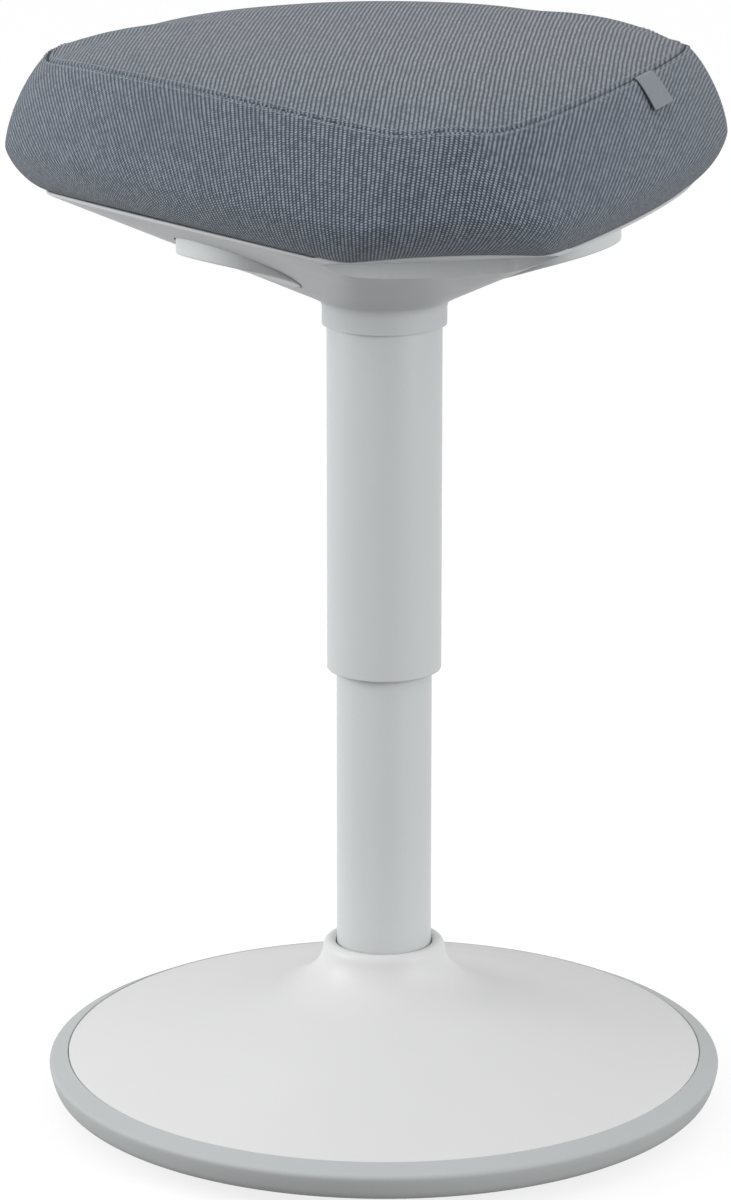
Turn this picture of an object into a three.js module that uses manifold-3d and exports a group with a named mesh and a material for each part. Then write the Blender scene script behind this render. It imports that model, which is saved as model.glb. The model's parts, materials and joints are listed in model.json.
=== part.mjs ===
// Wobble stool: a domed foot, a telescopic gas spring column and a three-lobed seat with two paddles.
// Millimetres, +Z up. The origin is the centre of the sole's flat face.
// The seat's front lobe points along -Y.
import * as THREE from 'three';
import { mergeVertices } from 'three/addons/utils/BufferGeometryUtils.js';
import Module from 'manifold-3d';

const wasm = await Module();
wasm.setup();

// Clearances and the overrun of cuts
const seatedGap = 0.3;
const runningGap = 0.4;
const windowGap = 1;
const slotGap = 0.8;
const overrun = 2;

// Facet counts
const footSteps = 40;
const columnSteps = 32;
const hiddenSteps = 20;
const smallSteps = 10;
const seatSteps = 48;
const leafSteps = 24;
const ballSteps = 8;

// Foot: domed rubber sole, pan, ballast and rim ring
const baseRadius = 178.9;
const soleFlatRadius = 60;
const rockRadius = 655;
const soleThickness = 3;
const soleMargin = 6;
const domeSpans = 3;
const grooveWidth = 2.4;
const grooveDepth = 1.2;
const rimWidth = 10.3;
const rimFootInset = 4.9;
const rimSide = 12;
const rimRise = 6.4;
const rimSideShares = [0.4, 0.6];
const rimTopShares = [[0.05, 0.25], [0.16, 0.42]];
const panThickness = 3;
const panWallInset = 8.3;
const ballastRadius = 121;
const ballastEdge = 10.5;

// Dish over the foot, with its concave flare up to the column
const dishSlopeShare = 0.289;
const dishWall = 2.6;
const dishSkirt = 3.6;
const shoulderRadius = 60;
const flareHeight = 23;
const lipWidth = 7;
const lipRise = 6;
const lipShares = [[0.92, 0.6], [0.65, 0.94], [0.3, 1], [0, 0.8]];
const dishSpans = 6;
const dishInnerSpans = 4;
const dishGap = 0.6;
const dishScrewCount = 3;
const dishScrewRadius = 1.9;
const dishScrewSink = 2.4;
const dishBossShare = 2.4;

// Column: socket, tube, sleeve and their guides
const tubeRadius = 25;
const tubeWall = 2;
const tubeExposed = 151;
const tubeOverlap = 111.6;
const tubePlate = 3;
const tubePlateRise = 15.4;
const socketWall = 3;
const socketFlangeRadius = 50;
const socketFlange = 4;
const socketDrop = 18.4;
const socketBoltCount = 4;
const socketBoltRadius = 3;
const socketBoltDepth = 8;
const slideSpace = 3;
const sleeveWall = 2;
const sleeveEdgeShare = 0.3;
const sleeveExposed = 185;
const sleeveHidden = 20.6;
const glideHeight = 14;
const bushHeight = 60;
const bushWallShare = 0.332;
const bushFlange = 2.5;

// Gas spring and thrust bearing
const rodRadius = 5;
const rodNeckShare = 0.8;
const collarWidth = 2.6;
const collarHeight = 4;
const bearingRadius = 12;
const raceThickness = 2;
const ballRadius = 2;
const ballCount = 6;
const clipThickness = 2;
const clipWidth = 4.2;
const bufferHeight = 10;
const bufferShoulderShare = 0.7;
const bufferTopShare = 0.85;
const cylinderWall = 1.5;
const cylinderLength = 326;
const cylinderCap = 38;
const taperStep = 0.7;
const taperLength = 30;
const sealHeight = 10;
const pistonHeight = 10;
const nutHeight = 4;
const nutSides = 6;
const nutShare = 1.7;
const travelUp = 70;
const travelDown = 80;

// Seat shell: neck, funnel, rim, front recess and inner ribs
const neckWall = 2.1;
const neckHeight = 10;
const neckFillet = 2.2;
const shellWall = 2.6;
const slopedWallShare = 1.15;
const webThickness = 3;
const funnelRise = 53.7;
const rimLip = 1.6;
const rimMean = 166.7;
const rimLobe = 12.4;
const rimFlat = -2.8;
const rimDip = -1.7;
const rimWave = 2.5;
const recessReach = 128;
const recessRadius = 82;
const recessDepth = 7.8;
const recessSlopeShare = 0.25;
const ribCount = 12;
const ribThickness = 2;
const ribClearShare = 0.7;
const bossRadius = 6;

// Cushion: equator, seam and crown of the sewn cover
const equatorOverhang = 19.5;
const equatorLobe = 17;
const equatorFlat = -3.2;
const equatorRise = 22.4;
const equatorDip = -1.6;
const equatorWave = 3;
const seamInset = 21.9;
const seamLobe = 18.4;
const seamFlat = -1.2;
const seamRise = 43.5;
const seamDip = -3.6;
const seamWave = 1.8;
const seamSink = 1.2;
const seamGap = 0.5;
const seamRollShares = [0.8, 0.95];
const crownRise = 19.7;
const crownPower = 4;
const upperPower = 1.38;
const lowerPower = 1.5;
const coverThickness = 1.5;
const labelAngle = 56;
const labelWidth = 14;
const labelLength = 20;
const labelThickness = 0.8;

// Seat board and mechanism tray
const boardLift = 5.6;
const boardThickness = 10;
const boardInset = 9;
const trayRadius = 50;
const trayWall = 2.5;
const trayDepth = 25;
const trayFlange = 22;
const trayScrewCount = 4;
const trayScrewRadius = 2.2;
const trayScrewLength = 9;
const shellScrewRadius = 2;
const shellScrewLength = 18;
const shellScrewBiteShare = 0.8;
const socketSleeve = 25;
const socketSleeveWall = 5;

// Release levers: paddles, arms, pivots and valve pin
const leverTurn = 60;
const paddleRoot = 62;
const paddleRimInset = 26.5;
const paddleHalfWidth = 31;
const paddleSkewShare = 0.22;
const paddleFlare = 9;
const flarePower = 1.8;
const paddleSkin = 2.5;
const paddleTop = 1.5;
const armWidth = 8;
const armThickness = 3;
const armInnerReach = 5.2;
const paddleBossShare = 0.75;
const leverHeight = 11.5;
const pivotReach = 40;
const pivotRadius = 2;
const eyeRadius = 5.4;
const eyeLength = 13;
const earThickness = 2.5;
const earWidth = 12;
const paddleScrewRadius = 1.8;
const paddleScrewShare = 0.6;
const pinRadius = 2.4;
const pinDepth = 34;
const spoolRadius = 9;
const spoolCore = 3.4;
const spoolFlange = 2;

// Heads of screws, as shares of their shanks
const headRadiusShare = 1.8;
const headHeightShare = 1.2;
const headRecessShare = 0.8;
const headCrownShare = 0.6;
const headFloorShare = 0.4;

const fullTurn = 2 * Math.PI;
const lobes = 3;

// Heights and radii that follow from the sizes above
const seamRadius = baseRadius - rimWidth;
const rimFootRadius = baseRadius - rimFootInset;
const soleRadius = rimFootRadius - soleMargin;
const domePitch = (soleRadius - soleFlatRadius) / domeSpans;
const panRadius = seamRadius - panWallInset;
const rimEquatorZ = domeZ(rimFootRadius) + rimSide;
const footSeamZ = rimEquatorZ + rimRise;
const shelfZ = footSeamZ - dishSkirt;
const ballastTopZ = panTopZ(ballastRadius) + seatedGap + ballastEdge;
const shoulderZ = footSeamZ + (seamRadius - shoulderRadius) * dishSlopeShare;
const flareTopZ = shoulderZ + flareHeight;
const lipTopZ = flareTopZ + lipRise;
const dishHoleRadius = tubeRadius + dishGap;
const dishScrewCircle = (ballastRadius + panRadius) / 2;

const socketFloorZ = ballastTopZ + seatedGap;
const tubeBottomZ = socketFloorZ + socketFlange + seatedGap;
const tubeInner = tubeRadius - tubeWall;
const bushWall = tubeRadius * bushWallShare;
const cylinderRadius = tubeInner - seatedGap - bushWall - runningGap;
const socketBolts = (tubeRadius + socketWall + socketFlangeRadius) / 2;
const sleeveBottomZ = lipTopZ + tubeExposed - dishGap;
const tubeTopZ = sleeveBottomZ + tubeOverlap;
const sleeveInner = tubeRadius + slideSpace;
const sleeveRadius = sleeveInner + sleeveWall;
const neckBottomZ = sleeveBottomZ + sleeveExposed;
const sleeveTopZ = neckBottomZ + sleeveHidden;
const neckRadius = sleeveRadius + seatedGap + neckWall;

const hubZ = neckBottomZ + neckHeight + 2 * neckFillet;
const hubRadius = neckRadius + neckFillet;
const webZ = sleeveTopZ + seatedGap;
const webTopZ = webZ + webThickness;
const rimZ = hubZ + funnelRise;
const rimTopZ = rimZ + rimLip;
const boardZ = rimZ + boardLift;
const boardTopZ = boardZ + boardThickness;
const trayTopZ = boardZ - seatedGap;
const trayFloorZ = trayTopZ - trayDepth;
const trayInsideZ = trayFloorZ + trayWall;
const leverZ = trayInsideZ + leverHeight;
const taperSocketTopZ = trayFloorZ - seatedGap;
const taperSocketZ = taperSocketTopZ - socketSleeve;
const cylinderTopZ = trayInsideZ + overrun;
const cylinderZ = cylinderTopZ - cylinderLength;

const plateZ = tubeBottomZ + tubePlateRise;
const raceZ = plateZ + tubePlate + seatedGap;
const ballZ = raceZ + raceThickness + seatedGap + ballRadius;
const upperRaceZ = ballZ + ballRadius + seatedGap;
const collarZ = upperRaceZ + raceThickness + seatedGap;
const bufferZ = collarZ + collarHeight + seatedGap;
const sealTopZ = cylinderZ + cylinderWall + 2 * seatedGap + sealHeight;
const pistonZ = sealTopZ + travelUp + ballRadius;

const rimRing = ring(rimMean, rimLobe, rimFlat, rimZ, rimDip, rimWave);
const rimMiddle = rimMean - rimLobe + rimFlat;
const paddleTip = rimMiddle - paddleRimInset;
const paddleScrewReach = paddleRoot + (paddleTip - paddleRoot) * paddleScrewShare;
const shellScrewReach = (rimMiddle + paddleScrewReach) / 2;
const shellScrewTurns = [-120, 120, 180];

// Looks, from the photograph
const palePlastic = look(0xc4c6c3, 0.55, 0);
const shellPlastic = look(0xa3a9ab, 0.55, 0);
const paddlePlastic = look(0xb9bebd, 0.5, 0);
const ringRubber = look(0xb3b6b4, 0.7, 0);
const darkRubber = look(0x4b4e50, 0.85, 0);
const paintedSteel = look(0xc3c6c5, 0.45, 0.1);
const plainSteel = look(0x9a9d9f, 0.35, 0.9);
const blackSteel = look(0x2b2d2f, 0.5, 0.6);
const castIron = look(0x5a5c5e, 0.8, 0.4);
const guidePlastic = look(0x303234, 0.6, 0);
const plywood = look(0xc8a878, 0.8, 0);
const foam = look(0xd8d2bc, 0.95, 0);
const cloth = look(0x76808b, 0.95, 0);
const tape = look(0x8b949c, 0.9, 0);

function look(color, roughness, metalness) {
  return new THREE.MeshStandardMaterial({ color, roughness, metalness });
}

// Underside of the foot: flat in the middle, then an arc in straight spans that the stool rocks on
function domeZ(radius) {
  const place = Math.max(0, (radius - soleFlatRadius) / domePitch);
  const span = Math.floor(place);
  const arcZ = (knot) => rockRadius - Math.sqrt(rockRadius ** 2 - (knot * domePitch) ** 2);
  return arcZ(span) + (arcZ(span + 1) - arcZ(span)) * (place - span);
}

// The radii where the dome's spans meet, from the flat's edge out to a limit
function domeKnots(limit) {
  const knots = [];
  for (let radius = soleFlatRadius; radius < limit; radius += domePitch) {
    knots.push(radius);
  }
  return [...knots, limit];
}

function panBottomZ(radius) {
  return domeZ(radius) + soleThickness + seatedGap;
}

function panTopZ(radius) {
  return panBottomZ(radius) + panThickness;
}

// Turns a geometry's faces outwards
function outward(source) {
  const geometry = source.getIndex() ? source : plain(source);
  const place = geometry.getAttribute('position');
  const index = geometry.getIndex();
  const corner = [new THREE.Vector3(), new THREE.Vector3(), new THREE.Vector3()];
  let volume = 0;
  for (let i = 0; i < index.count; i += 3) {
    corner.forEach((point, k) => point.fromBufferAttribute(place, index.getX(i + k)));
    volume += corner[0].dot(corner[1].cross(corner[2]));
  }
  if (volume < 0) {
    for (let i = 0; i < index.count; i += 3) {
      const first = index.getX(i);
      index.setX(i, index.getX(i + 1));
      index.setX(i + 1, first);
    }
  }
  return geometry;
}

function plain(geometry) {
  const bare = geometry.clone();
  bare.deleteAttribute('normal');
  bare.deleteAttribute('uv');
  return mergeVertices(bare, seatedGap / 1000);
}

function solid(geometry) {
  const merged = plain(geometry);
  const vertProperties = new Float32Array(merged.getAttribute('position').array);
  const triVerts = new Uint32Array(merged.getIndex().array);
  return new wasm.Manifold(new wasm.Mesh({ numProp: 3, vertProperties, triVerts }));
}

function geometryOf(body) {
  const mesh = body.getMesh();
  const geometry = new THREE.BufferGeometry();
  geometry.setAttribute('position', new THREE.BufferAttribute(new Float32Array(mesh.vertProperties), 3));
  geometry.setIndex(new THREE.BufferAttribute(new Uint32Array(mesh.triVerts), 1));
  geometry.computeVertexNormals();
  return geometry;
}

function part(name, geometry, material) {
  const mesh = new THREE.Mesh(geometry, material);
  mesh.name = name;
  return mesh;
}

// A body turned about the Z axis from a profile of [radius, height] points
function turned(profile, steps = columnSteps) {
  const points = profile.map(([radius, z]) => new THREE.Vector2(radius, z));
  if (points[0].x > 0) {
    points.push(points[0].clone());
  }
  const geometry = new THREE.LatheGeometry(points, steps);
  geometry.rotateX(Math.PI / 2);
  return outward(geometry);
}

function tube(outer, inner, low, high, steps = columnSteps) {
  return turned([[inner, low], [outer, low], [outer, high], [inner, high]], steps);
}

function rod(radius, low, high, steps = smallSteps) {
  return turned([[0, low], [radius, low], [radius, high], [0, high]], steps);
}

function block(lowX, highX, lowY, highY, lowZ, highZ) {
  const box = new THREE.BoxGeometry(highX - lowX, highY - lowY, highZ - lowZ);
  box.translate((lowX + highX) / 2, (lowY + highY) / 2, (lowZ + highZ) / 2);
  return box;
}

function prism(outline, low, high) {
  const settings = { depth: high - low, bevelEnabled: false };
  return new THREE.ExtrudeGeometry(new THREE.Shape(outline), settings).translate(0, 0, low);
}

// A screw or bolt along Z with a round recess in its head
// The last value is 1 with the head on top and -1 with the head below
function screw(shank, length, headZ, up) {
  const headRadius = shank * headRadiusShare;
  const headHeight = shank * headHeightShare;
  const recess = shank * headRecessShare;
  const crown = headHeight * headCrownShare;
  const floor = headHeight * headFloorShare;
  const profile = [[0, -length], [shank, -length], [shank, 0], [headRadius, 0], [headRadius, crown],
    [recess, headHeight], [recess, floor], [0, floor]];
  return turned(profile.map(([radius, z]) => [radius, headZ + up * z]), smallSteps);
}

function aroundZ(count, circle, make, start = 0) {
  const copies = [];
  for (let i = 0; i < count; i += 1) {
    const angle = start + (i / count) * fullTurn;
    copies.push(make(i, circle * Math.cos(angle), circle * Math.sin(angle)));
  }
  return copies;
}

// A ring of the seat's plan: a circle with three lobes
// Its height swings by dip and wave from lobe to lobe
function ring(radius, lobe, flat, z, dip = 0, wave = 0) {
  return { radius, lobe, flat, z, dip, wave };
}

function roundRing(radius, z) {
  return ring(radius, 0, 0, z);
}

function mixRings(from, to, share) {
  const mix = (key) => from[key] + (to[key] - from[key]) * share;
  return ring(mix('radius'), mix('lobe'), mix('flat'), mix('z'), mix('dip'), mix('wave'));
}

// The same ring, moved in by a distance and up to another height
function moved(path, inwards, z) {
  return { ...path, radius: path.radius - inwards, z };
}

// The same ring, with all its points at one height
function level(path, z) {
  return ring(path.radius, path.lobe, path.flat, z);
}

// The point of a ring whose outward direction stands at a turn from the front
function pointOn(path, turn) {
  const reach = path.radius + path.lobe * Math.cos(lobes * turn) + path.flat * Math.cos(2 * lobes * turn);
  const swing = -lobes * (path.lobe * Math.sin(lobes * turn) + 2 * path.flat * Math.sin(2 * lobes * turn));
  const x = reach * Math.sin(turn) + swing * Math.cos(turn);
  const y = -reach * Math.cos(turn) + swing * Math.sin(turn);
  const z = path.z + path.dip * Math.cos(lobes * turn) + path.wave * Math.cos(2 * lobes * turn);
  return new THREE.Vector3(x, y, z);
}

// How round a ring is at a turn
function bendRadius(path, turn) {
  const lobe = (lobes ** 2 - 1) * path.lobe * Math.cos(lobes * turn);
  return path.radius - lobe - (4 * lobes ** 2 - 1) * path.flat * Math.cos(2 * lobes * turn);
}

function ringPoints(path) {
  const points = [];
  for (let i = 0; i < seatSteps; i += 1) {
    points.push(pointOn(path, (i / seatSteps) * fullTurn));
  }
  return points;
}

// Rings moved square to the surface that they span; a positive distance moves it inwards
function inset(rings, distance) {
  return rings.map((path, i) => {
    const before = rings[Math.max(i - 1, 0)];
    const after = rings[Math.min(i + 1, rings.length - 1)];
    const run = after.radius - before.radius;
    const rise = after.z - before.z;
    const length = Math.hypot(run, rise);
    return moved(path, (distance * rise) / length, path.z + (distance * run) / length);
  });
}

// A closed body through loops of points: its two ends are capped, or the last loop joins the first
function loft(loops, joined = false) {
  const count = loops[0].length;
  const points = loops.flat();
  const faces = [];
  const spans = joined ? loops.length : loops.length - 1;
  for (let row = 0; row < spans; row += 1) {
    const next = ((row + 1) % loops.length) * count;
    for (let i = 0; i < count; i += 1) {
      const j = (i + 1) % count;
      faces.push(row * count + i, row * count + j, next + i, row * count + j, next + j, next + i);
    }
  }
  if (!joined) {
    [0, loops.length - 1].forEach((row) => {
      const centre = new THREE.Vector3();
      loops[row].forEach((point) => centre.add(point));
      const tip = points.push(centre.divideScalar(count)) - 1;
      for (let i = 0; i < count; i += 1) {
        const near = row * count + i;
        const far = row * count + ((i + 1) % count);
        faces.push(...(row === 0 ? [tip, far, near] : [tip, near, far]));
      }
    });
  }
  const geometry = new THREE.BufferGeometry().setFromPoints(points);
  geometry.setIndex(faces);
  geometry.computeVertexNormals();
  return outward(geometry);
}

function loftRings(rings, joined = false) {
  return loft(rings.map(ringPoints), joined);
}

// Foot

function rockerSole() {
  const under = [[0, 0]];
  const upper = [[0, soleThickness]];
  domeKnots(soleRadius - seatedGap / 2).forEach((radius, i) => {
    if (i > 1) {
      const inner = radius - (domePitch + grooveWidth) / 2;
      const outer = inner + grooveWidth;
      under.push([inner, domeZ(inner)], [inner, domeZ(inner) + grooveDepth]);
      under.push([outer, domeZ(outer) + grooveDepth], [outer, domeZ(outer)]);
    }
    under.push([radius, domeZ(radius)]);
    upper.unshift([radius, domeZ(radius) + soleThickness]);
  });
  return part('rocker_sole', turned([...under, ...upper], footSteps), darkRubber);
}

function rimRingPart() {
  const inner = panRadius + seatedGap;
  const soleEdge = soleRadius + seatedGap;
  const skirt = seamRadius + seatedGap;
  const [sideIn, sideDown] = rimSideShares;
  const side = [baseRadius - rimFootInset * sideIn, rimEquatorZ - rimSide * sideDown];
  const bulgePoint = ([across, up]) => [baseRadius - rimWidth * across, rimEquatorZ + rimRise * up];
  const top = rimTopShares.map(bulgePoint);
  const profile = [[inner, panBottomZ(inner)], [soleEdge, panBottomZ(soleEdge)],
    [soleEdge, domeZ(soleEdge)],
    [rimFootRadius, domeZ(rimFootRadius)], side, [baseRadius, rimEquatorZ], ...top, [skirt, footSeamZ],
    [skirt, shelfZ - seatedGap], [inner, shelfZ - seatedGap]];
  return part('rim_ring', turned(profile, footSteps), ringRubber);
}

function basePan() {
  const ballastWall = ballastRadius + seatedGap;
  const wallTop = shelfZ - panThickness;
  const under = domeKnots(panRadius).map((radius) => [radius, panBottomZ(radius)]);
  const inner = panRadius - panThickness;
  const collarTop = panTopZ(ballastWall) + ballastEdge / 2;
  const collarOut = ballastWall + panThickness;
  const upper = [[panRadius, wallTop], [inner, wallTop], [inner, panTopZ(inner)],
    [collarOut, panTopZ(collarOut)],
    [collarOut, collarTop], [ballastWall, collarTop]];
  const floor = domeKnots(ballastWall).map((radius) => [radius, panTopZ(radius)]).reverse();
  let body = solid(turned([[0, panBottomZ(0)], ...under, ...upper, ...floor, [0, panTopZ(0)]],
    footSteps));
  const headRadius = dishScrewRadius * headRadiusShare + seatedGap;
  const headZ = panBottomZ(dishScrewCircle) + dishScrewSink + seatedGap;
  const postZ = panBottomZ(dishScrewCircle) + panThickness / 2;
  const boreTop = bossFootZ() + overrun;
  aroundZ(dishScrewCount, dishScrewCircle, (i, x, y) => {
    body = body.add(solid(rod(headRadius + panThickness, postZ, bossFootZ()).translate(x, y, 0)));
    body = body.subtract(solid(rod(headRadius, 0, headZ).translate(x, y, 0)));
    body = body.subtract(solid(rod(dishScrewRadius + seatedGap, 0, boreTop).translate(x, y, 0)));
  });
  return part('base_pan', geometryOf(body), guidePlastic);
}

// Where the pan's screw posts end and the dish's bosses stand
function bossFootZ() {
  return panTopZ(dishScrewCircle) + panThickness;
}

function ballastDisc() {
  const under = domeKnots(ballastRadius).map((radius) => [radius, panTopZ(radius) + seatedGap]);
  const profile = [[0, panTopZ(0) + seatedGap], ...under, [ballastRadius, ballastTopZ - seatedGap],
    [ballastRadius - panThickness, ballastTopZ], [0, ballastTopZ]];
  let body = solid(turned(profile, footSteps));
  aroundZ(socketBoltCount, socketBolts, (i, x, y) => {
    const bore = rod(socketBoltRadius + seatedGap, ballastTopZ - socketBoltDepth - overrun,
      ballastTopZ + overrun);
    body = body.subtract(solid(bore.translate(x, y, 0)));
  });
  return part('ballast_disc', geometryOf(body), castIron);
}

// The dish's top face from the seam to the flare's top, moved in by a wall for its underside
function dishCurve(wall, steps) {
  const top = new THREE.Vector2(dishHoleRadius + lipWidth - wall, flareTopZ);
  const shoulder = new THREE.Vector2(shoulderRadius, shoulderZ - wall);
  const bendRadius = top.x + lipWidth / 2;
  const bend = new THREE.Vector2(bendRadius, shoulder.y + (shoulderRadius - bendRadius) * dishSlopeShare);
  const curve = new THREE.QuadraticBezierCurve(shoulder, bend, top);
  return curve.getPoints(steps).map((point) => [point.x, point.y]);
}

function baseDish() {
  const skirtInner = seamRadius - dishWall;
  const outer = [[seamRadius, shelfZ], [seamRadius, footSeamZ], ...dishCurve(0, dishSpans)];
  const lipPoint = ([across, up]) => [dishHoleRadius + lipWidth * across, flareTopZ + lipRise * up];
  const lip = lipShares.map(lipPoint);
  lip.push([dishHoleRadius, flareTopZ - lipRise / 2],
    [dishHoleRadius + lipWidth / 2, flareTopZ - lipRise]);
  const under = dishCurve(dishWall, dishInnerSpans).slice(0, -1).reverse();
  const innerSeamZ = footSeamZ - dishWall + dishWall * dishSlopeShare;
  const skirt = [[skirtInner, innerSeamZ], [skirtInner, shelfZ]];
  let body = solid(turned([...outer, ...lip, ...under, ...skirt], footSteps));
  const bossTopZ = footSeamZ + (seamRadius - dishScrewCircle) * dishSlopeShare - dishWall / 2;
  const bossZ = bossFootZ() + seatedGap;
  aroundZ(dishScrewCount, dishScrewCircle, (i, x, y) => {
    body = body.add(solid(rod(dishScrewRadius * dishBossShare, bossZ, bossTopZ).translate(x, y, 0)));
  });
  aroundZ(dishScrewCount, dishScrewCircle, (i, x, y) => {
    const bore = rod(dishScrewRadius + seatedGap, bossZ - overrun, bossTopZ - dishWall);
    body = body.subtract(solid(bore.translate(x, y, 0)));
  });
  return part('base_dish', geometryOf(body), palePlastic);
}

function dishScrews() {
  const headZ = panBottomZ(dishScrewCircle) + dishScrewSink;
  const topZ = footSeamZ + (seamRadius - dishScrewCircle) * dishSlopeShare - 2 * dishWall;
  return aroundZ(dishScrewCount, dishScrewCircle, (i, x, y) => {
    const pin = part(`dish_screw_${i + 1}`, screw(dishScrewRadius, topZ - headZ, headZ, -1), plainSteel);
    pin.position.set(x, y, 0);
    return pin;
  });
}

function columnSocket() {
  const bore = tubeRadius + seatedGap;
  const low = socketFloorZ;
  const top = low + socketFlange;
  const wallTop = lipTopZ - socketDrop;
  const floorHole = rodRadius + collarWidth;
  const profile = [[floorHole, low], [socketFlangeRadius, low], [socketFlangeRadius, top],
    [bore + socketWall + socketFlange, top], [bore + socketWall, top + socketFlange],
    [bore + socketWall, wallTop],
    [bore, wallTop], [bore, top], [floorHole, top]];
  let body = solid(turned(profile));
  aroundZ(socketBoltCount, socketBolts, (i, x, y) => {
    const hole = rod(socketBoltRadius + seatedGap, low - overrun, top + overrun);
    body = body.subtract(solid(hole.translate(x, y, 0)));
  });
  return part('column_socket', geometryOf(body), blackSteel);
}

function socketBoltParts() {
  const headZ = socketFloorZ + socketFlange + seatedGap;
  return aroundZ(socketBoltCount, socketBolts, (i, x, y) => {
    const length = socketBoltDepth + socketFlange;
    const bolt = part(`socket_bolt_${i + 1}`, screw(socketBoltRadius, length, headZ, 1), plainSteel);
    bolt.position.set(x, y, 0);
    return bolt;
  });
}

function columnTube() {
  const hole = rodRadius + seatedGap;
  const profile = [[tubeInner, tubeBottomZ], [tubeRadius, tubeBottomZ],
    [tubeRadius, tubeTopZ - tubeWall / 2],
    [tubeRadius - tubeWall / 2, tubeTopZ], [tubeInner, tubeTopZ], [tubeInner, plateZ + tubePlate],
    [hole, plateZ + tubePlate], [hole, plateZ], [tubeInner, plateZ]];
  return part('column_tube', turned(profile), paintedSteel);
}

function guideBush() {
  const outer = tubeInner - seatedGap;
  const bore = cylinderRadius + runningGap;
  const seatZ = tubeTopZ + seatedGap;
  const profile = [[bore, tubeTopZ - bushHeight], [outer, tubeTopZ - bushHeight], [outer, seatZ],
    [tubeRadius - tubeWall / 2, seatZ], [tubeRadius - tubeWall / 2, seatZ + bushFlange],
    [bore, seatZ + bushFlange]];
  return part('guide_bush', turned(profile), guidePlastic);
}

// Thrust bearing and piston rod

function lowerRace() {
  const washer = tube(bearingRadius, rodRadius + runningGap, raceZ, raceZ + raceThickness, hiddenSteps);
  return part('bearing_lower_race', washer, plainSteel);
}

function ballCage() {
  const inner = rodRadius + runningGap;
  const circle = (inner + bearingRadius) / 2;
  const half = ballRadius / 2;
  let body = solid(tube(bearingRadius, inner, ballZ - half, ballZ + half, hiddenSteps));
  aroundZ(ballCount, circle, (i, x, y) => {
    const ball = new THREE.SphereGeometry(ballRadius, ballSteps, ballSteps - 2);
    body = body.add(solid(outward(ball.translate(x, y, ballZ))));
  });
  return part('bearing_ball_cage', geometryOf(body), plainSteel);
}

function upperRace() {
  const top = upperRaceZ + raceThickness;
  const washer = tube(bearingRadius, rodRadius + seatedGap, upperRaceZ, top, hiddenSteps);
  return part('bearing_upper_race', washer, plainSteel);
}

function pistonRod() {
  const grooveZ = plateZ - seatedGap - clipThickness - 2 * seatedGap;
  const neck = rodRadius * rodNeckShare;
  const nutTopZ = pistonZ + pistonHeight + nutHeight;
  const profile = [[0, grooveZ - clipThickness], [rodRadius, grooveZ - clipThickness],
    [rodRadius, grooveZ],
    [neck, grooveZ], [neck, grooveZ + clipThickness + 2 * seatedGap],
    [rodRadius, grooveZ + clipThickness + 2 * seatedGap],
    [rodRadius, collarZ], [rodRadius + collarWidth, collarZ],
    [rodRadius + collarWidth, collarZ + collarHeight],
    [rodRadius, collarZ + collarHeight], [rodRadius, pistonZ - seatedGap], [neck, pistonZ - seatedGap],
    [neck, nutTopZ], [0, nutTopZ]];
  return part('piston_rod', turned(profile, hiddenSteps), plainSteel);
}

function rodClip() {
  const bore = rodRadius * rodNeckShare + seatedGap;
  const low = plateZ - seatedGap - clipThickness - seatedGap;
  const clip = solid(tube(rodRadius + clipWidth, bore, low, low + clipThickness, hiddenSteps));
  const reach = rodRadius + clipWidth + overrun;
  const mouth = solid(block(0, reach, -bore / 2, bore / 2, low - overrun, plateZ));
  return part('rod_clip', geometryOf(clip.subtract(mouth)), blackSteel);
}

function rodBuffer() {
  const outer = bearingRadius - seatedGap;
  const inner = rodRadius + seatedGap;
  const topZ = bufferZ + bufferHeight;
  const shoulder = bufferZ + bufferHeight * bufferShoulderShare;
  const profile = [[inner, bufferZ], [outer, bufferZ], [outer, shoulder],
    [outer * bufferTopShare, topZ], [inner, topZ]];
  return part('rod_buffer', turned(profile, hiddenSteps), darkRubber);
}

function pistonHead() {
  const outer = cylinderRadius - cylinderWall - runningGap;
  const bore = rodRadius * rodNeckShare + seatedGap;
  const groove = pistonHeight / 5;
  const profile = [[bore, pistonZ], [outer, pistonZ], [outer, pistonZ + 2 * groove],
    [outer - groove, pistonZ + 2 * groove],
    [outer - groove, pistonZ + 3 * groove], [outer, pistonZ + 3 * groove],
    [outer, pistonZ + pistonHeight],
    [bore, pistonZ + pistonHeight]];
  return part('piston_head', turned(profile, hiddenSteps), blackSteel);
}

function pistonNut() {
  const low = pistonZ + pistonHeight + seatedGap;
  const bore = rodRadius * rodNeckShare + seatedGap;
  const nut = solid(rod(rodRadius * nutShare, low, low + nutHeight, nutSides));
  const hole = solid(rod(bore, low - overrun, low + nutHeight + overrun));
  return part('piston_nut', geometryOf(nut.subtract(hole)), plainSteel);
}

// Gas cylinder, sleeve and their seals

function taperRadius(z) {
  const start = taperSocketZ;
  return cylinderRadius - taperStep / 2 - (taperStep * (z - start)) / taperLength;
}

function gasCylinder() {
  const inner = cylinderRadius - cylinderWall;
  const capZ = cylinderTopZ - cylinderCap;
  const rodHole = rodRadius + 3 * runningGap;
  const bore = pinRadius + seatedGap;
  const profile = [[rodHole, cylinderZ], [cylinderRadius - cylinderWall / 2, cylinderZ],
    [cylinderRadius, cylinderZ + cylinderWall / 2], [cylinderRadius, taperSocketZ - overrun],
    [taperRadius(taperSocketZ), taperSocketZ], [taperRadius(cylinderTopZ), cylinderTopZ],
    [bore, cylinderTopZ],
    [bore, capZ], [inner, capZ], [inner, cylinderZ + cylinderWall], [rodHole, cylinderZ + cylinderWall]];
  return part('gas_cylinder', turned(profile, columnSteps), blackSteel);
}

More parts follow.
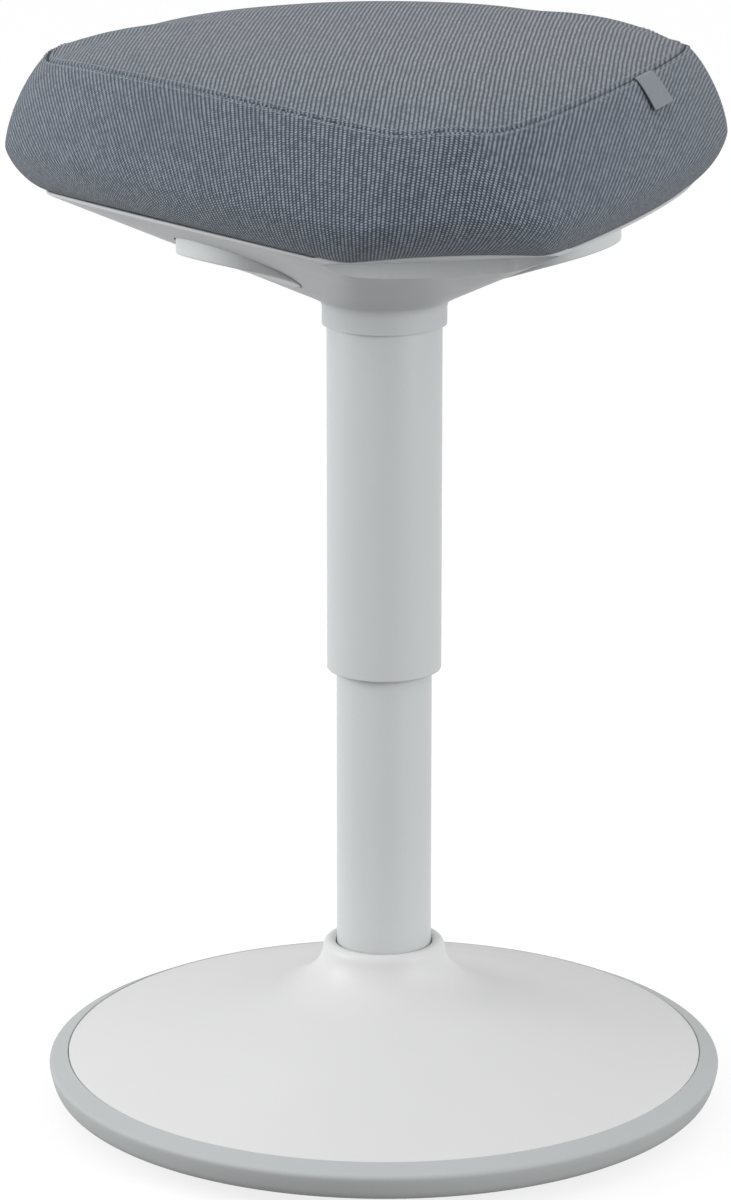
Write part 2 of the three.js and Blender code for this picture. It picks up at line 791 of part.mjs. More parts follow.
function rodSeal() {
  const outer = cylinderRadius - cylinderWall - seatedGap;
  const inner = rodRadius + runningGap;
  const low = cylinderZ + cylinderWall + seatedGap;
  return part('rod_seal', tube(outer, inner, low, low + sealHeight, hiddenSteps), guidePlastic);
}

function outerSleeve() {
  const edge = sleeveWall / 2;
  const arc = edge * sleeveEdgeShare;
  const profile = [[sleeveInner, sleeveBottomZ], [sleeveRadius - edge, sleeveBottomZ],
    [sleeveRadius - arc, sleeveBottomZ + arc], [sleeveRadius, sleeveBottomZ + edge],
    [sleeveRadius, sleeveTopZ],
    [sleeveInner, sleeveTopZ]];
  return part('outer_sleeve', turned(profile), paintedSteel);
}

function sleeveGlide() {
  const outer = sleeveInner - seatedGap;
  const inner = tubeRadius + runningGap;
  const low = sleeveBottomZ + seatedGap;
  return part('sleeve_glide', tube(outer, inner, low, low + glideHeight), guidePlastic);
}

// Seat shell

const hubRing = roundRing(hubRadius, hubZ);
const shellLip = moved(rimRing, 0, rimTopZ);

function funnelRings(top) {
  const bend = neckFillet;
  return [roundRing(neckRadius, neckBottomZ), roundRing(neckRadius, hubZ - 2 * bend),
    roundRing(neckRadius + bend / 4, hubZ - bend),
    hubRing, mixRings(hubRing, rimRing, 1 / 2), rimRing, top];
}

// Everything above the shell's outer face, up to well over its rim
function aboveFunnel() {
  return solid(loftRings(funnelRings(level(rimRing, rimTopZ + funnelRise))));
}

function shellHollow() {
  const wallRise = shellWall * slopedWallShare;
  const start = (webTopZ - hubZ - wallRise) / funnelRise;
  const low = mixRings(hubRing, rimRing, start);
  const high = moved(rimRing, shellWall, rimZ + wallRise / 2);
  return solid(loftRings([level(low, webTopZ), high, moved(high, 0, rimTopZ + overrun)]));
}

// The front recess, or with a margin the thicker wall behind it
function recessTool(margin) {
  const nearY = -recessReach + margin;
  const radius = recessRadius + margin;
  const frontRise = funnelRise + rimDip + rimWave;
  const reachZ = hubZ + (frontRise * (recessReach - hubRadius)) / (rimMean + rimLobe + rimFlat - hubRadius);
  const roofZ = reachZ + recessDepth + margin;
  const farY = nearY - 2 * recessRadius;
  const roof = [new THREE.Vector2(nearY, neckBottomZ), new THREE.Vector2(nearY, roofZ),
    new THREE.Vector2(farY, roofZ + (nearY - farY) * recessSlopeShare),
    new THREE.Vector2(farY, neckBottomZ)];
  const slab = prism(roof, 0, 2 * radius);
  slab.rotateX(Math.PI / 2).rotateZ(Math.PI / 2).translate(radius, 0, 0);
  const disc = rod(radius, neckBottomZ, rimTopZ + funnelRise, columnSteps);
  disc.translate(0, nearY - radius, 0);
  return solid(outward(slab)).intersect(solid(disc));
}

function ribs(above) {
  const low = hubZ;
  const high = trayFloorZ - 2 * overrun;
  const clearTurn = (Math.asin((paddleHalfWidth + windowGap) / paddleRoot) * 180) / Math.PI;
  const outer = (hubRadius + rimMiddle) / 2;
  const made = [];
  for (let i = 0; i < ribCount; i += 1) {
    const turn = (i / ribCount) * 360;
    const fromLever = Math.min(Math.abs(turn - leverTurn), Math.abs(360 - turn - leverTurn));
    if (fromLever > clearTurn * ribClearShare) {
      const rib = block(-ribThickness / 2, ribThickness / 2, -outer, -hubRadius, low, high);
      made.push(solid(rib.rotateZ(THREE.MathUtils.degToRad(turn))).intersect(above));
    }
  }
  return made;
}

function shellScrewPlace(turn) {
  const angle = THREE.MathUtils.degToRad(turn);
  return [shellScrewReach * Math.sin(angle), -shellScrewReach * Math.cos(angle)];
}

function seatShell() {
  const above = aboveFunnel();
  const sleeveBore = sleeveRadius + seatedGap;
  const low = neckBottomZ - overrun;
  const socketHole = cylinderRadius + socketSleeveWall + 2 * seatedGap;
  let body = solid(loftRings(funnelRings(shellLip))).subtract(shellHollow());
  body = body.subtract(solid(rod(sleeveBore, low, webZ, columnSteps)));
  body = body.subtract(solid(rod(socketHole, low, webTopZ + overrun, columnSteps)));
  ribs(above).forEach((rib) => {
    body = body.add(rib);
  });
  const trim = solid(rod(2 * rimMean, neckBottomZ, trayTopZ + overrun, smallSteps));
  body = body.add(recessTool(shellWall).intersect(above).intersect(trim));
  body = body.subtract(recessTool(0));
  const headRadius = shellScrewRadius * headRadiusShare + seatedGap;
  const headZ = boardTopZ - shellScrewLength;
  shellScrewTurns.forEach((turn) => {
    const [x, y] = shellScrewPlace(turn);
    body = body.add(solid(rod(bossRadius, hubZ, boardZ - seatedGap).translate(x, y, 0)).intersect(above));
    body = body.subtract(solid(rod(headRadius, hubZ, headZ).translate(x, y, 0)));
    const bore = rod(shellScrewRadius + seatedGap, hubZ, boardZ + overrun);
    body = body.subtract(solid(bore.translate(x, y, 0)));
  });
  [-1, 1].forEach((side) => {
    const window = prism(leafOutline(windowGap), hubZ - funnelRise / 2, rimTopZ + funnelRise);
    body = body.subtract(solid(window.rotateZ(leverAngle(side))));
  });
  return part('seat_shell', geometryOf(body), shellPlastic);
}

function shellScrews() {
  const headZ = boardTopZ - shellScrewLength - seatedGap;
  return shellScrewTurns.map((turn, i) => {
    const [x, y] = shellScrewPlace(turn);
    const length = boardThickness * shellScrewBiteShare + boardZ - headZ;
    const pin = part(`shell_screw_${i + 1}`, screw(shellScrewRadius, length, headZ, -1), plainSteel);
    pin.position.set(x, y, 0);
    return pin;
  });
}

// Seat board, mechanism tray and taper socket

function seatBoard() {
  const edge = boardThickness / 8;
  const outline = (shrink, z) => level(moved(rimRing, boardInset + shrink, z), z);
  const rings = [outline(edge, boardZ), outline(0, boardZ + edge), outline(0, boardTopZ - edge),
    outline(edge, boardTopZ)];
  let body = solid(loftRings(rings));
  const drill = (x, y, radius) => {
    body = body.subtract(solid(rod(radius, boardZ - overrun, boardTopZ + overrun).translate(x, y, 0)));
  };
  shellScrewTurns.forEach((turn) => drill(...shellScrewPlace(turn), shellScrewRadius + seatedGap));
  aroundZ(trayScrewCount, trayScrewCircle(), (i, x, y) => drill(x, y, trayScrewRadius + seatedGap));
  return part('seat_board', geometryOf(body), plywood);
}

function trayScrewCircle() {
  return trayRadius + trayFlange / 2;
}

function mechanismTray() {
  const hole = cylinderRadius + seatedGap;
  const flangeZ = trayTopZ - trayWall;
  const outer = trayRadius + trayFlange;
  const profile = [[hole, trayFloorZ], [trayRadius - trayWall, trayFloorZ],
    [trayRadius, trayFloorZ + trayWall],
    [trayRadius, flangeZ], [outer, flangeZ], [outer, trayTopZ], [trayRadius - trayWall, trayTopZ],
    [trayRadius - trayWall, trayInsideZ], [hole, trayInsideZ]];
  let body = solid(turned(profile));
  [-1, 1].forEach((side) => {
    const inner = eyeLength / 2 + runningGap;
    const tall = leverZ + eyeRadius;
    [-1, 1].forEach((hand) => {
      const [lowY, highY] = [hand * inner, hand * (inner + earThickness)].sort((a, b) => a - b);
      const low = trayInsideZ - trayWall / 2;
      const ear = block(pivotReach - earWidth / 2, pivotReach + earWidth / 2, lowY, highY, low, tall);
      body = body.add(solid(ear.rotateZ(leverAngle(side))));
    });
    const slot = block(trayRadius - 2 * trayWall, trayRadius + overrun, -armWidth / 2 - windowGap * 2,
      armWidth / 2 + windowGap * 2, leverZ - armThickness, leverZ + 2 * armThickness);
    body = body.subtract(solid(slot.rotateZ(leverAngle(side))));
    const bore = crossRod(pivotRadius + seatedGap, 2 * (inner + earThickness + overrun));
    body = body.subtract(solid(bore.rotateZ(leverAngle(side))));
  });
  aroundZ(trayScrewCount, trayScrewCircle(), (i, x, y) => {
    const drill = rod(trayScrewRadius + seatedGap, flangeZ - overrun, trayTopZ + overrun);
    body = body.subtract(solid(drill.translate(x, y, 0)));
  });
  return part('mechanism_tray', geometryOf(body), blackSteel);
}

function trayScrews() {
  const headZ = trayTopZ - trayWall - seatedGap;
  return aroundZ(trayScrewCount, trayScrewCircle(), (i, x, y) => {
    const shape = screw(trayScrewRadius, trayScrewLength, headZ, -1);
    const pin = part(`tray_screw_${i + 1}`, shape, plainSteel);
    pin.position.set(x, y, 0);
    return pin;
  });
}

function taperSocket() {
  const wall = cylinderRadius + socketSleeveWall;
  const bore = (z) => taperRadius(z) + seatedGap;
  const flange = wall + 2 * socketSleeveWall;
  const flangeZ = taperSocketTopZ - trayWall;
  const profile = [[bore(taperSocketZ), taperSocketZ], [wall, taperSocketZ], [wall, flangeZ],
    [flange, flangeZ],
    [flange, taperSocketTopZ], [bore(taperSocketTopZ), taperSocketTopZ]];
  return part('taper_socket', turned(profile, columnSteps), blackSteel);
}

// Cushion

const coverFoot = moved(rimRing, 0, rimTopZ + seatedGap);
const equatorMean = rimMean + equatorOverhang;
const equatorZ = rimZ + equatorRise;
const equatorRing = ring(equatorMean, equatorLobe, equatorFlat, equatorZ, equatorDip, equatorWave);
const seamMean = equatorMean - seamInset;
const seamRing = ring(seamMean, seamLobe, seamFlat, equatorZ + seamRise, seamDip, seamWave);

// Between two rings by a superellipse: across moves the plan and up moves the height
function bulge(foot, top, across, up) {
  const plan = mixRings(foot, top, across);
  const height = mixRings(foot, top, up);
  return ring(plan.radius, plan.lobe, plan.flat, height.z, height.dip, height.wave);
}

function sideRings(steps) {
  const rings = [];
  for (let i = 0; i <= steps; i += 1) {
    const angle = ((1 - i / steps) * Math.PI) / 2;
    const across = Math.cos(angle) ** (2 / lowerPower);
    const up = 1 - Math.sin(angle) ** (2 / lowerPower);
    rings.push(bulge(coverFoot, equatorRing, across, up));
  }
  for (let i = 1; i <= steps; i += 1) {
    const angle = ((1 - i / steps) * Math.PI) / 2;
    const across = 1 - Math.sin(angle) ** (2 / upperPower);
    const up = Math.cos(angle) ** (2 / upperPower);
    rings.push(bulge(equatorRing, seamRing, across, up));
  }
  return rings;
}

function crownRings(shares) {
  return shares.map((share) => {
    const fade = share ** crownPower;
    const z = seamRing.z + crownRise * (1 - fade);
    return ring(seamMean * share, seamLobe * share, seamFlat * share, z, seamDip * fade, seamWave * fade);
  });
}

const crownShares = [0.94, 0.82, 0.66, 0.45, 0.22];
const sideSteps = 4;

// The whole outside of the cover, from the shell's rim over the seam's groove to the crown
function coverPath() {
  const side = sideRings(sideSteps);
  const seam = side.pop();
  const low = moved(seam, -seamGap / 2, seam.z - seamSink);
  const high = moved(seam, seamGap / 2, seam.z - seamSink);
  const rolled = bulge(side[side.length - 1], low, ...seamRollShares);
  return { side: [...side, rolled, low], top: [high, ...crownRings(crownShares)] };
}

function coverSideBand() {
  const outside = coverPath().side;
  const inside = inset(outside, coverThickness).reverse();
  return part('cover_side_band', loftRings([...outside, ...inside], true), cloth);
}

function coverTopPanel() {
  const outside = coverPath().top;
  const inside = inset(outside, coverThickness).reverse();
  return part('cover_top_panel', loftRings([...inside, ...outside]), cloth);
}

function foamPad() {
  const path = coverPath();
  const skin = coverThickness + seatedGap;
  const side = inset(path.side, skin);
  const top = inset(path.top, skin);
  side.pop();
  const wall = moved(rimRing, boardInset - seatedGap, coverFoot.z);
  const well = level(wall, boardTopZ + seatedGap);
  const rings = [mixRings(roundRing(0, well.z), well, 1 / 2), well, wall, ...side, ...top];
  return part('foam_pad', loftRings(rings), foam);
}

// A small folded tape tab that hangs from the seam and lies over the side band
function sideLabel() {
  const steps = 16;
  const side = sideRings(steps).reverse();
  const turn = THREE.MathUtils.degToRad(labelAngle);
  const bend = bendRadius(seamRing, turn);
  const half = labelWidth / 2 / bend;
  const near = inset(side, seatedGap);
  const far = inset(side, seatedGap + labelThickness);
  const loops = [];
  let length = 0;
  for (let i = 0; i < side.length && length < labelLength; i += 1) {
    loops.push([pointOn(near[i], turn - half), pointOn(near[i], turn + half),
      pointOn(far[i], turn + half), pointOn(far[i], turn - half)]);
    length += pointOn(near[i], turn).distanceTo(pointOn(near[i + 1], turn));
  }
  return part('side_label', loft(loops), tape);
}

// Release levers, in a frame whose X axis points outwards along the lever

function leverAngle(side) {
  return THREE.MathUtils.degToRad(side * leverTurn - 90);
}

// The paddle's outline: an egg whose wide end is near the rim
function leafOutline(grow) {
  const middle = (paddleRoot + paddleTip) / 2;
  const half = (paddleTip - paddleRoot) / 2 + grow;
  const points = [];
  for (let i = 0; i < leafSteps; i += 1) {
    const angle = (i / leafSteps) * fullTurn;
    const width = (paddleHalfWidth + grow) * (1 + paddleSkewShare * Math.cos(angle));
    points.push(new THREE.Vector2(middle + half * Math.cos(angle), width * Math.sin(angle)));
  }
  return points;
}

function funnelZ(reach) {
  const share = (reach - hubRadius) / (rimMiddle - hubRadius);
  return hubZ + share * (funnelRise - rimDip + rimWave);
}

// A slab across the lever between the paddle's outer face, raised by low, and the funnel, raised by high
function paddleSlab(low, high) {
  const steps = 9;
  const start = paddleRoot - windowGap;
  const end = paddleTip + windowGap;
  const under = [];
  const over = [];
  for (let i = 0; i <= steps; i += 1) {
    const reach = start + ((end - start) * i) / steps;
    const share = Math.max(0, (reach - paddleRoot) / (paddleTip - paddleRoot));
    under.push(new THREE.Vector2(reach, funnelZ(reach) - paddleFlare * share ** flarePower + low));
    over.unshift(new THREE.Vector2(reach, funnelZ(reach) + high));
  }
  const width = 4 * paddleHalfWidth;
  const slab = prism([...under, ...over], 0, width).rotateX(Math.PI / 2).translate(0, width / 2, 0);
  return solid(outward(slab));
}

function paddle(side) {
  const low = hubZ - funnelRise / 2;
  const high = rimTopZ + funnelRise;
  const leaf = solid(prism(leafOutline(0), low, high));
  const core = solid(prism(leafOutline(-paddleSkin), low, high));
  const tall = paddleSlab(0, funnelRise);
  const bossTop = leverZ - armThickness / 2 - seatedGap;
  const bossHalf = armWidth * paddleBossShare;
  const boss = block(paddleScrewReach - bossHalf, paddleScrewReach + bossHalf, -bossHalf, bossHalf,
    hubZ, bossTop);
  const bore = rod(paddleScrewRadius + seatedGap, hubZ, bossTop + overrun);
  const boreFloor = funnelZ(paddleScrewReach) + paddleSkin;
  const boreRoom = block(0, paddleTip, -bossHalf, bossHalf, boreFloor, high);
  const drill = solid(bore.translate(paddleScrewReach, 0, 0)).intersect(solid(boreRoom));
  let body = leaf.intersect(paddleSlab(0, paddleTop));
  body = body.subtract(core.intersect(paddleSlab(paddleSkin, funnelRise)));
  body = body.add(solid(boss).intersect(tall)).subtract(drill);
  return part(side < 0 ? 'paddle_left' : 'paddle_right', geometryOf(body), paddlePlastic);
}

// A rod across the lever at its pivot
function crossRod(radius, length) {
  return rod(radius, -length / 2, length / 2).rotateX(Math.PI / 2).translate(pivotReach, 0, leverZ);
}

function leverArm(side) {
  const half = armWidth / 2;
  const end = paddleScrewReach + armWidth;
  const thick = armThickness / 2;
  const bar = block(armInnerReach, end, -half, half, leverZ - thick, leverZ + thick);
  const hole = rod(paddleScrewRadius + seatedGap, leverZ - armThickness, leverZ + armThickness);
  const drill = hole.translate(paddleScrewReach, 0, 0);
  const eyeBore = crossRod(pivotRadius + seatedGap, eyeLength + overrun);
  let body = solid(bar).add(solid(crossRod(eyeRadius, eyeLength)));
  body = body.subtract(solid(eyeBore)).subtract(solid(drill));
  return part(side < 0 ? 'lever_arm_left' : 'lever_arm_right', geometryOf(body), plainSteel);
}

function paddleScrew(side) {
  const headZ = leverZ + armThickness / 2 + seatedGap;
  const length = headZ - funnelZ(paddleScrewReach) - paddleSkin - 2 * seatedGap;
  const name = side < 0 ? 'paddle_screw_left' : 'paddle_screw_right';
  const pin = part(name, screw(paddleScrewRadius, length, headZ, 1), plainSteel);
  pin.position.set(paddleScrewReach, 0, 0);
  return pin;
}

function pivotPin(side) {
  const length = eyeLength + 2 * (runningGap + earThickness + seatedGap);
  return part(side < 0 ? 'pivot_pin_left' : 'pivot_pin_right', crossRod(pivotRadius, length), plainSteel);
}

// One lever with its paddle, turned to its side of the seat
function lever(side) {
  const group = new THREE.Group();
  group.rotation.z = leverAngle(side);
  group.add(paddle(side), leverArm(side), paddleScrew(side), pivotPin(side));
  return group;
}

function valvePin() {
  const slot = armThickness / 2 + slotGap;
  const low = leverZ - slot - spoolFlange;
  const high = leverZ + slot + spoolFlange;
  const profile = [[0, cylinderTopZ - pinDepth], [pinRadius, cylinderTopZ - pinDepth], [pinRadius, low],
    [spoolRadius, low], [spoolRadius, leverZ - slot], [spoolCore, leverZ - slot],
    [spoolCore, leverZ + slot],
    [spoolRadius, leverZ + slot], [spoolRadius, high], [0, high]];
  return part('valve_pin', turned(profile, hiddenSteps), plainSteel);
}

const foot = new THREE.Group();
foot.add(rockerSole(), rimRingPart(), basePan(), ballastDisc(), baseDish(), ...dishScrews());

const column = new THREE.Group();
column.add(columnSocket(), ...socketBoltParts(), columnTube(), guideBush(), outerSleeve(), sleeveGlide());

const gasSpring = new THREE.Group();
gasSpring.add(lowerRace(), ballCage(), upperRace(), pistonRod(), rodClip(), rodBuffer(), pistonHead(),
  pistonNut());
gasSpring.add(gasCylinder(), rodSeal(), valvePin());

const seat = new THREE.Group();
seat.add(seatShell(), ...shellScrews(), seatBoard(), mechanismTray(), ...trayScrews(), taperSocket());
seat.add(foamPad(), coverSideBand(), coverTopPanel(), sideLabel(), lever(-1), lever(1));

const stool = new THREE.Group();
stool.add(foot, column, gasSpring, seat);

export default stool;
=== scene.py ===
import json
import math

import bmesh
import bpy
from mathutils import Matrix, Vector
from mathutils.bvhtree import BVHTree


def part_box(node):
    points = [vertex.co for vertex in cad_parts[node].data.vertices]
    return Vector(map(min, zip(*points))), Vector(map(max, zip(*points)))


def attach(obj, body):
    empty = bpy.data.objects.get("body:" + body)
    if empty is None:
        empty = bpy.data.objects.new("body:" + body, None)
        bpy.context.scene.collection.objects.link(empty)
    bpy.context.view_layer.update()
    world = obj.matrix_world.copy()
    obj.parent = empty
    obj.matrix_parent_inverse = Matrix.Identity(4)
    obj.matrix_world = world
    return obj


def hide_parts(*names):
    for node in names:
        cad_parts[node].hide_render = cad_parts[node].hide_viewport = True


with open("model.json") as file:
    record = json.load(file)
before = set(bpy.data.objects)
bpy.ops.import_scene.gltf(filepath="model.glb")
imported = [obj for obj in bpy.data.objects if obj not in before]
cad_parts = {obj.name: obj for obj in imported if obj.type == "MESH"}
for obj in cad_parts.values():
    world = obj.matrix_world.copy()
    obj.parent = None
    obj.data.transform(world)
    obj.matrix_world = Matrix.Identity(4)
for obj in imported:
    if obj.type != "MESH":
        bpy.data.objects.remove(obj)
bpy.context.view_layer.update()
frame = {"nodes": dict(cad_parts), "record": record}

bl_info = {
    "name": "Wobble stool",
    "version": (1, 0, 0),
    "blender": (4, 5, 0),
    "location": "View3D > Sidebar > Stool",
    "description": "Dresses the wobble stool: cushion, mouldings, column, finishes, light and camera",
    "category": "Object",
}

MM = 0.001
NODES = frame["nodes"]
FULL_TURN = 2 * math.pi
LOBES = 3

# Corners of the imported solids' boxes, in metres
RIM_LOW, RIM_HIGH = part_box("rim_ring")
DISH_LOW, DISH_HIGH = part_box("base_dish")
TUBE_LOW, TUBE_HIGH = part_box("column_tube")
SLEEVE_LOW, SLEEVE_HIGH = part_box("outer_sleeve")
SHELL_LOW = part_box("seat_shell")[0]
BOARD_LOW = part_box("seat_board")[0]
TRAY_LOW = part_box("mechanism_tray")[0]


# Sizes and colours that a user would change

def number(name, value, description, **more):
    return bpy.props.FloatProperty(name=name, default=value, description=description, **more)


def metres(name, value, description):
    return number(name, value, description, subtype="DISTANCE", unit="LENGTH", precision=5)


def tint(name, value, description):
    return bpy.props.FloatVectorProperty(name=name, default=value, description=description,
                                         subtype="COLOR", size=3, min=0.0, max=1.0)


def srgb(*levels):
    """A colour as a photograph writes it, 0 to 255, as linear light."""
    shares = [level / 255 for level in levels]
    return tuple(share / 12.92 if share <= 0.04045 else ((share + 0.055) / 1.055) ** 2.4 for share in shares)


class StoolCushion(bpy.types.PropertyGroup):
    rim_mean: metres("Rim radius", 0.1667, "Mean radius of the shell's rim, where the cover starts")
    rim_lobe: metres("Rim lobes", 0.0124, "How far the rim's three lobes stand out")
    rim_flat: metres("Rim flats", -0.0028, "How much the rim's sides are flattened")
    equator_mean: metres("Widest radius", 0.1862, "Mean radius of the cushion where it is widest")
    equator_lobe: metres("Widest lobes", 0.017, "How far the lobes stand out where the cushion is widest")
    equator_flat: metres("Widest flats", -0.0032, "How much the sides are flattened where it is widest")
    equator_rise: metres("Widest height", 0.0224, "Height of the widest ring over the rim")
    equator_dip: metres("Widest dip", -0.0016, "How far the widest ring drops at each lobe")
    equator_wave: metres("Widest wave", 0.003, "How far the widest ring rises at each lobe and each side")
    seam_mean: metres("Seam radius", 0.1643, "Mean radius of the sewn seam")
    seam_lobe: metres("Seam lobes", 0.0184, "How far the seam's three lobes stand out")
    seam_flat: metres("Seam flats", -0.0012, "How much the seam's sides are flattened")
    seam_rise: metres("Seam height", 0.0441, "Height of the seam over the widest ring")
    seam_dip: metres("Seam dip", -0.0044, "How far the seam drops at each lobe")
    seam_wave: metres("Seam wave", 0.0026, "How far the seam rises at each lobe and each side")
    seam_sink: metres("Seam depth", 0.0021, "How deep the sewn seam pulls the cover in")
    crown_rise: metres("Crown", 0.0156, "Height of the crown over the seam")
    swell: metres("Swell cap", 0.006, "The most that the padding may swell in the cloth simulation")
    stitch_pitch: metres("Stitch pitch", 0.0042, "From one topstitch to the next")
    stitch_above: metres("Stitches above", 0.0031, "From the seam to the topstitches on the top panel")
    stitch_below: metres("Stitches below", 0.0027, "From the seam to the topstitches on the side band")


class StoolFabric(bpy.types.PropertyGroup):
    rib_pitch: metres("Rib pitch", 0.0022, "From one woven rib to the next")
    dash_pitch: metres("Dash pitch", 0.0013, "Length of one light yarn dash along a rib")
    yarn_light: tint("Light yarn", srgb(149, 160, 171), "The light yarn that shows as dashes")
    yarn_dark: tint("Dark yarn", srgb(72, 80, 92), "The dark yarn between the dashes")
    yarn_speck: tint("Speck yarn", srgb(74, 58, 66), "Warm dark specks in the dark yarn")
    thread: tint("Thread", srgb(166, 175, 185), "The topstitching thread")
    # Painted shade: this thread is darker than any yarn and stands in for the shade in the seam's groove
    seam_shade_thread: tint("Seam thread", srgb(34, 39, 48), "The dark thread deep in the seam")
    tape: tint("Label tape", srgb(140, 148, 155), "The bare folded label")


class StoolBody(bpy.types.PropertyGroup):
    dish: tint("Dish plastic", srgb(223, 224, 223), "The pale moulded dish of the foot")
    ring: tint("Rim ring", srgb(189, 192, 192), "The grey ring round the foot")
    tube: tint("Tube paint", srgb(209, 212, 212), "Powder coat of the column's two tubes")
    shell: tint("Shell plastic", srgb(203, 206, 208), "The moulded shell under the cushion")
    paddle: tint("Paddle plastic", srgb(217, 220, 220), "The two release paddles")
    rubber: tint("Sole rubber", srgb(66, 68, 70), "The domed rubber sole")


class StoolStage(bpy.types.PropertyGroup):
    azimuth: number("Camera azimuth", math.radians(10), "How far the camera stands left of the stool's front",
                    subtype="ANGLE")
    pitch: number("Camera pitch", 0.27227, "How far the camera looks down", subtype="ANGLE")
    distance: metres("Camera distance", 2.62811, "Level distance from the column's axis to the camera")
    height: metres("Camera height", 1.00935, "Height of the camera over the floor")
    sideways: metres("Camera step", 0.0098, "How far the camera stands to its own left")
    focal: number("Lens", 156.47, "Focal length for a 36 mm frame, in millimetres")
    key: number("Key light", 41.0, "Power of the large light at the left, in watts")
    fill: number("Fill light", 24.0, "Power of the light at the right, in watts")
    world: number("World light", 0.85, "Strength of the even light from all round", min=0.0, max=2.0)


# Mesh helpers

def link_piece(name, data):
    piece = bpy.data.objects.new(name, data)
    bpy.context.scene.collection.objects.link(piece)
    return piece


def mesh_piece(name, points, faces, sharp_angle=math.radians(40)):
    """A smooth-shaded object from points in metres and faces."""
    data = bpy.data.meshes.new(name)
    data.from_pydata([tuple(point) for point in points], [], faces)
    data.validate()
    made = bmesh.new()
    made.from_mesh(data)
    bmesh.ops.recalc_face_normals(made, faces=made.faces)
    made.to_mesh(data)
    made.free()
    data.shade_smooth()
    data.set_sharp_from_angle(angle=sharp_angle)
    return link_piece(name, data)


def finish_piece(piece, body, slot_name, *nodes, material=None):
    """Gives a piece its material, body and slot, and the solids that it stands for."""
    piece.data.materials.clear()
    piece.data.materials.append(material or slot_material(slot_name))
    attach(piece, body)
    if nodes:
        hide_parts(*nodes)


def apply_modifiers(piece):
    """Makes what the modifiers give the piece's own mesh."""
    graph = bpy.context.evaluated_depsgraph_get()
    shown = piece.evaluated_get(graph)
    data = bpy.data.meshes.new_from_object(shown, preserve_all_data_layers=True, depsgraph=graph)
    piece.modifiers.clear()
    old = piece.data
    piece.data = data
    bpy.data.meshes.remove(old)


def modify(piece, kind, **settings):
    """Changes a piece's own mesh by one modifier."""
    step = piece.modifiers.new("step", kind)
    for key, value in settings.items():
        setattr(step, key, value)
    apply_modifiers(piece)


def boolean(piece, other, operation):
    """Joins a piece with another, cuts it by it or keeps what both share; the other one is used up."""
    modify(piece, "BOOLEAN", operation=operation, solver="MANIFOLD", object=other)
    data = other.data
    bpy.data.objects.remove(other)
    bpy.data.meshes.remove(data)


def turns(count):
    """Even steps of one full turn."""
    return [FULL_TURN * i / count for i in range(count)]


def numbered(loops):
    """The points of some rows in one list, and each row's numbers in it."""
    points = []
    rows = []
    for loop in loops:
        rows.append(range(len(points), len(points) + len(loop)))
        points += loop
    return points, rows


def row_faces(rows, around=True):
    """Faces between rows of point numbers; a row of one number is a tip."""
    faces = []
    for low, high in zip(rows, rows[1:]):
        count = max(len(low), len(high))
        for i in range(count if around else count - 1):
            j = (i + 1) % count
            if len(low) == 1:
                faces.append((low[0], high[j], high[i]))
            elif len(high) == 1:
                faces.append((low[i], low[j], high[0]))
            else:
                faces.append((low[i], low[j], high[j], high[i]))
    return faces


def loft(name, loops, joined=False, sharp_angle=math.radians(40)):
    """A body from closed rows of points; it joins up with its first row, or both ends are closed."""
    points, rows = numbered(loops)
    faces = row_faces(rows + rows[:1] if joined else rows)
    for row in () if joined else (rows[0], rows[-1]):
        centre = len(points)
        points.append(sum(points[row[0]:row[-1] + 1], Vector()) / len(row))
        faces += [(centre, i, j) for i, j in zip(row, [*row[1:], row[0]])]
    return mesh_piece(name, points, faces, sharp_angle)


def prism(name, low, high):
    """A body between a lower and an upper outline."""
    points, rows = numbered((low, high))
    return mesh_piece(name, points, [tuple(row) for row in rows] + row_faces(rows))


def lathe(name, profile, steps):
    """A body turned about the Z axis from (radius, height) in metres; it closes on itself or on the axis."""
    loops = []
    for radius, z in profile:
        angles = turns(steps) if radius else [0.0]
        loops.append([(radius * math.cos(angle), radius * math.sin(angle), z) for angle in angles])
    points, rows = numbered(loops)
    return mesh_piece(name, points, row_faces(rows if len(rows[0]) == 1 else rows + rows[:1]))


# Profiles

def at(radius, level, up=0.0):
    """A profile point: a radius in millimetres, and a level in metres with millimetres added."""
    return radius * MM, level + up * MM


def rounded(profile, radius, steps=4):
    """A closed profile with its corners rounded by short arcs."""
    out = []
    for i, corner in enumerate(profile):
        here = Vector(corner)
        before = Vector(profile[i - 1]) - here
        after = Vector(profile[(i + 1) % len(profile)]) - here
        cut = min(radius, 0.45 * before.length, 0.45 * after.length)
        out += bezier(here + before.normalized() * cut, here, here + after.normalized() * cut, steps)
    return out


def bezier(start, bend, end, steps):
    """Points of a curve from its start to its end, drawn towards a bend."""
    out = []
    for k in range(steps + 1):
        t = k / steps
        out.append(tuple(a * (1 - t) ** 2 + b * 2 * t * (1 - t) + c * t * t
                         for a, b, c in zip(start, bend, end)))
    return out


# The seat's rings: a circle with three lobes, whose height may rise or fall at the lobes

# Shell sizes that the cushion and the paddles share, in metres
HUB_Z = SHELL_LOW.z + 14.4 * MM
HUB_RADIUS = 36.6 * MM
NECK_RADIUS = 32.4 * MM
FUNNEL_RISE = 53.7 * MM
RIM_Z = HUB_Z + FUNNEL_RISE
RIM_DIP = -1.7 * MM
RIM_WAVE = 2.5 * MM
RIM_LIP = 1.6 * MM
SHELL_WALL = 2.6 * MM

# How much more a lobe and a flat bend a ring than they move it
LOBE_BEND = LOBES ** 2 - 1
FLAT_BEND = (2 * LOBES) ** 2 - 1

# How far the cover starts over the rim, and how full its side is below and above its widest ring
COVER_START = 1.9 * MM
LOWER_POWER = 1.5
UPPER_POWER = 1.38


def ring(radius, lobe, flat, z, dip=0.0, wave=0.0):
    return (radius, lobe, flat, z, dip, wave)


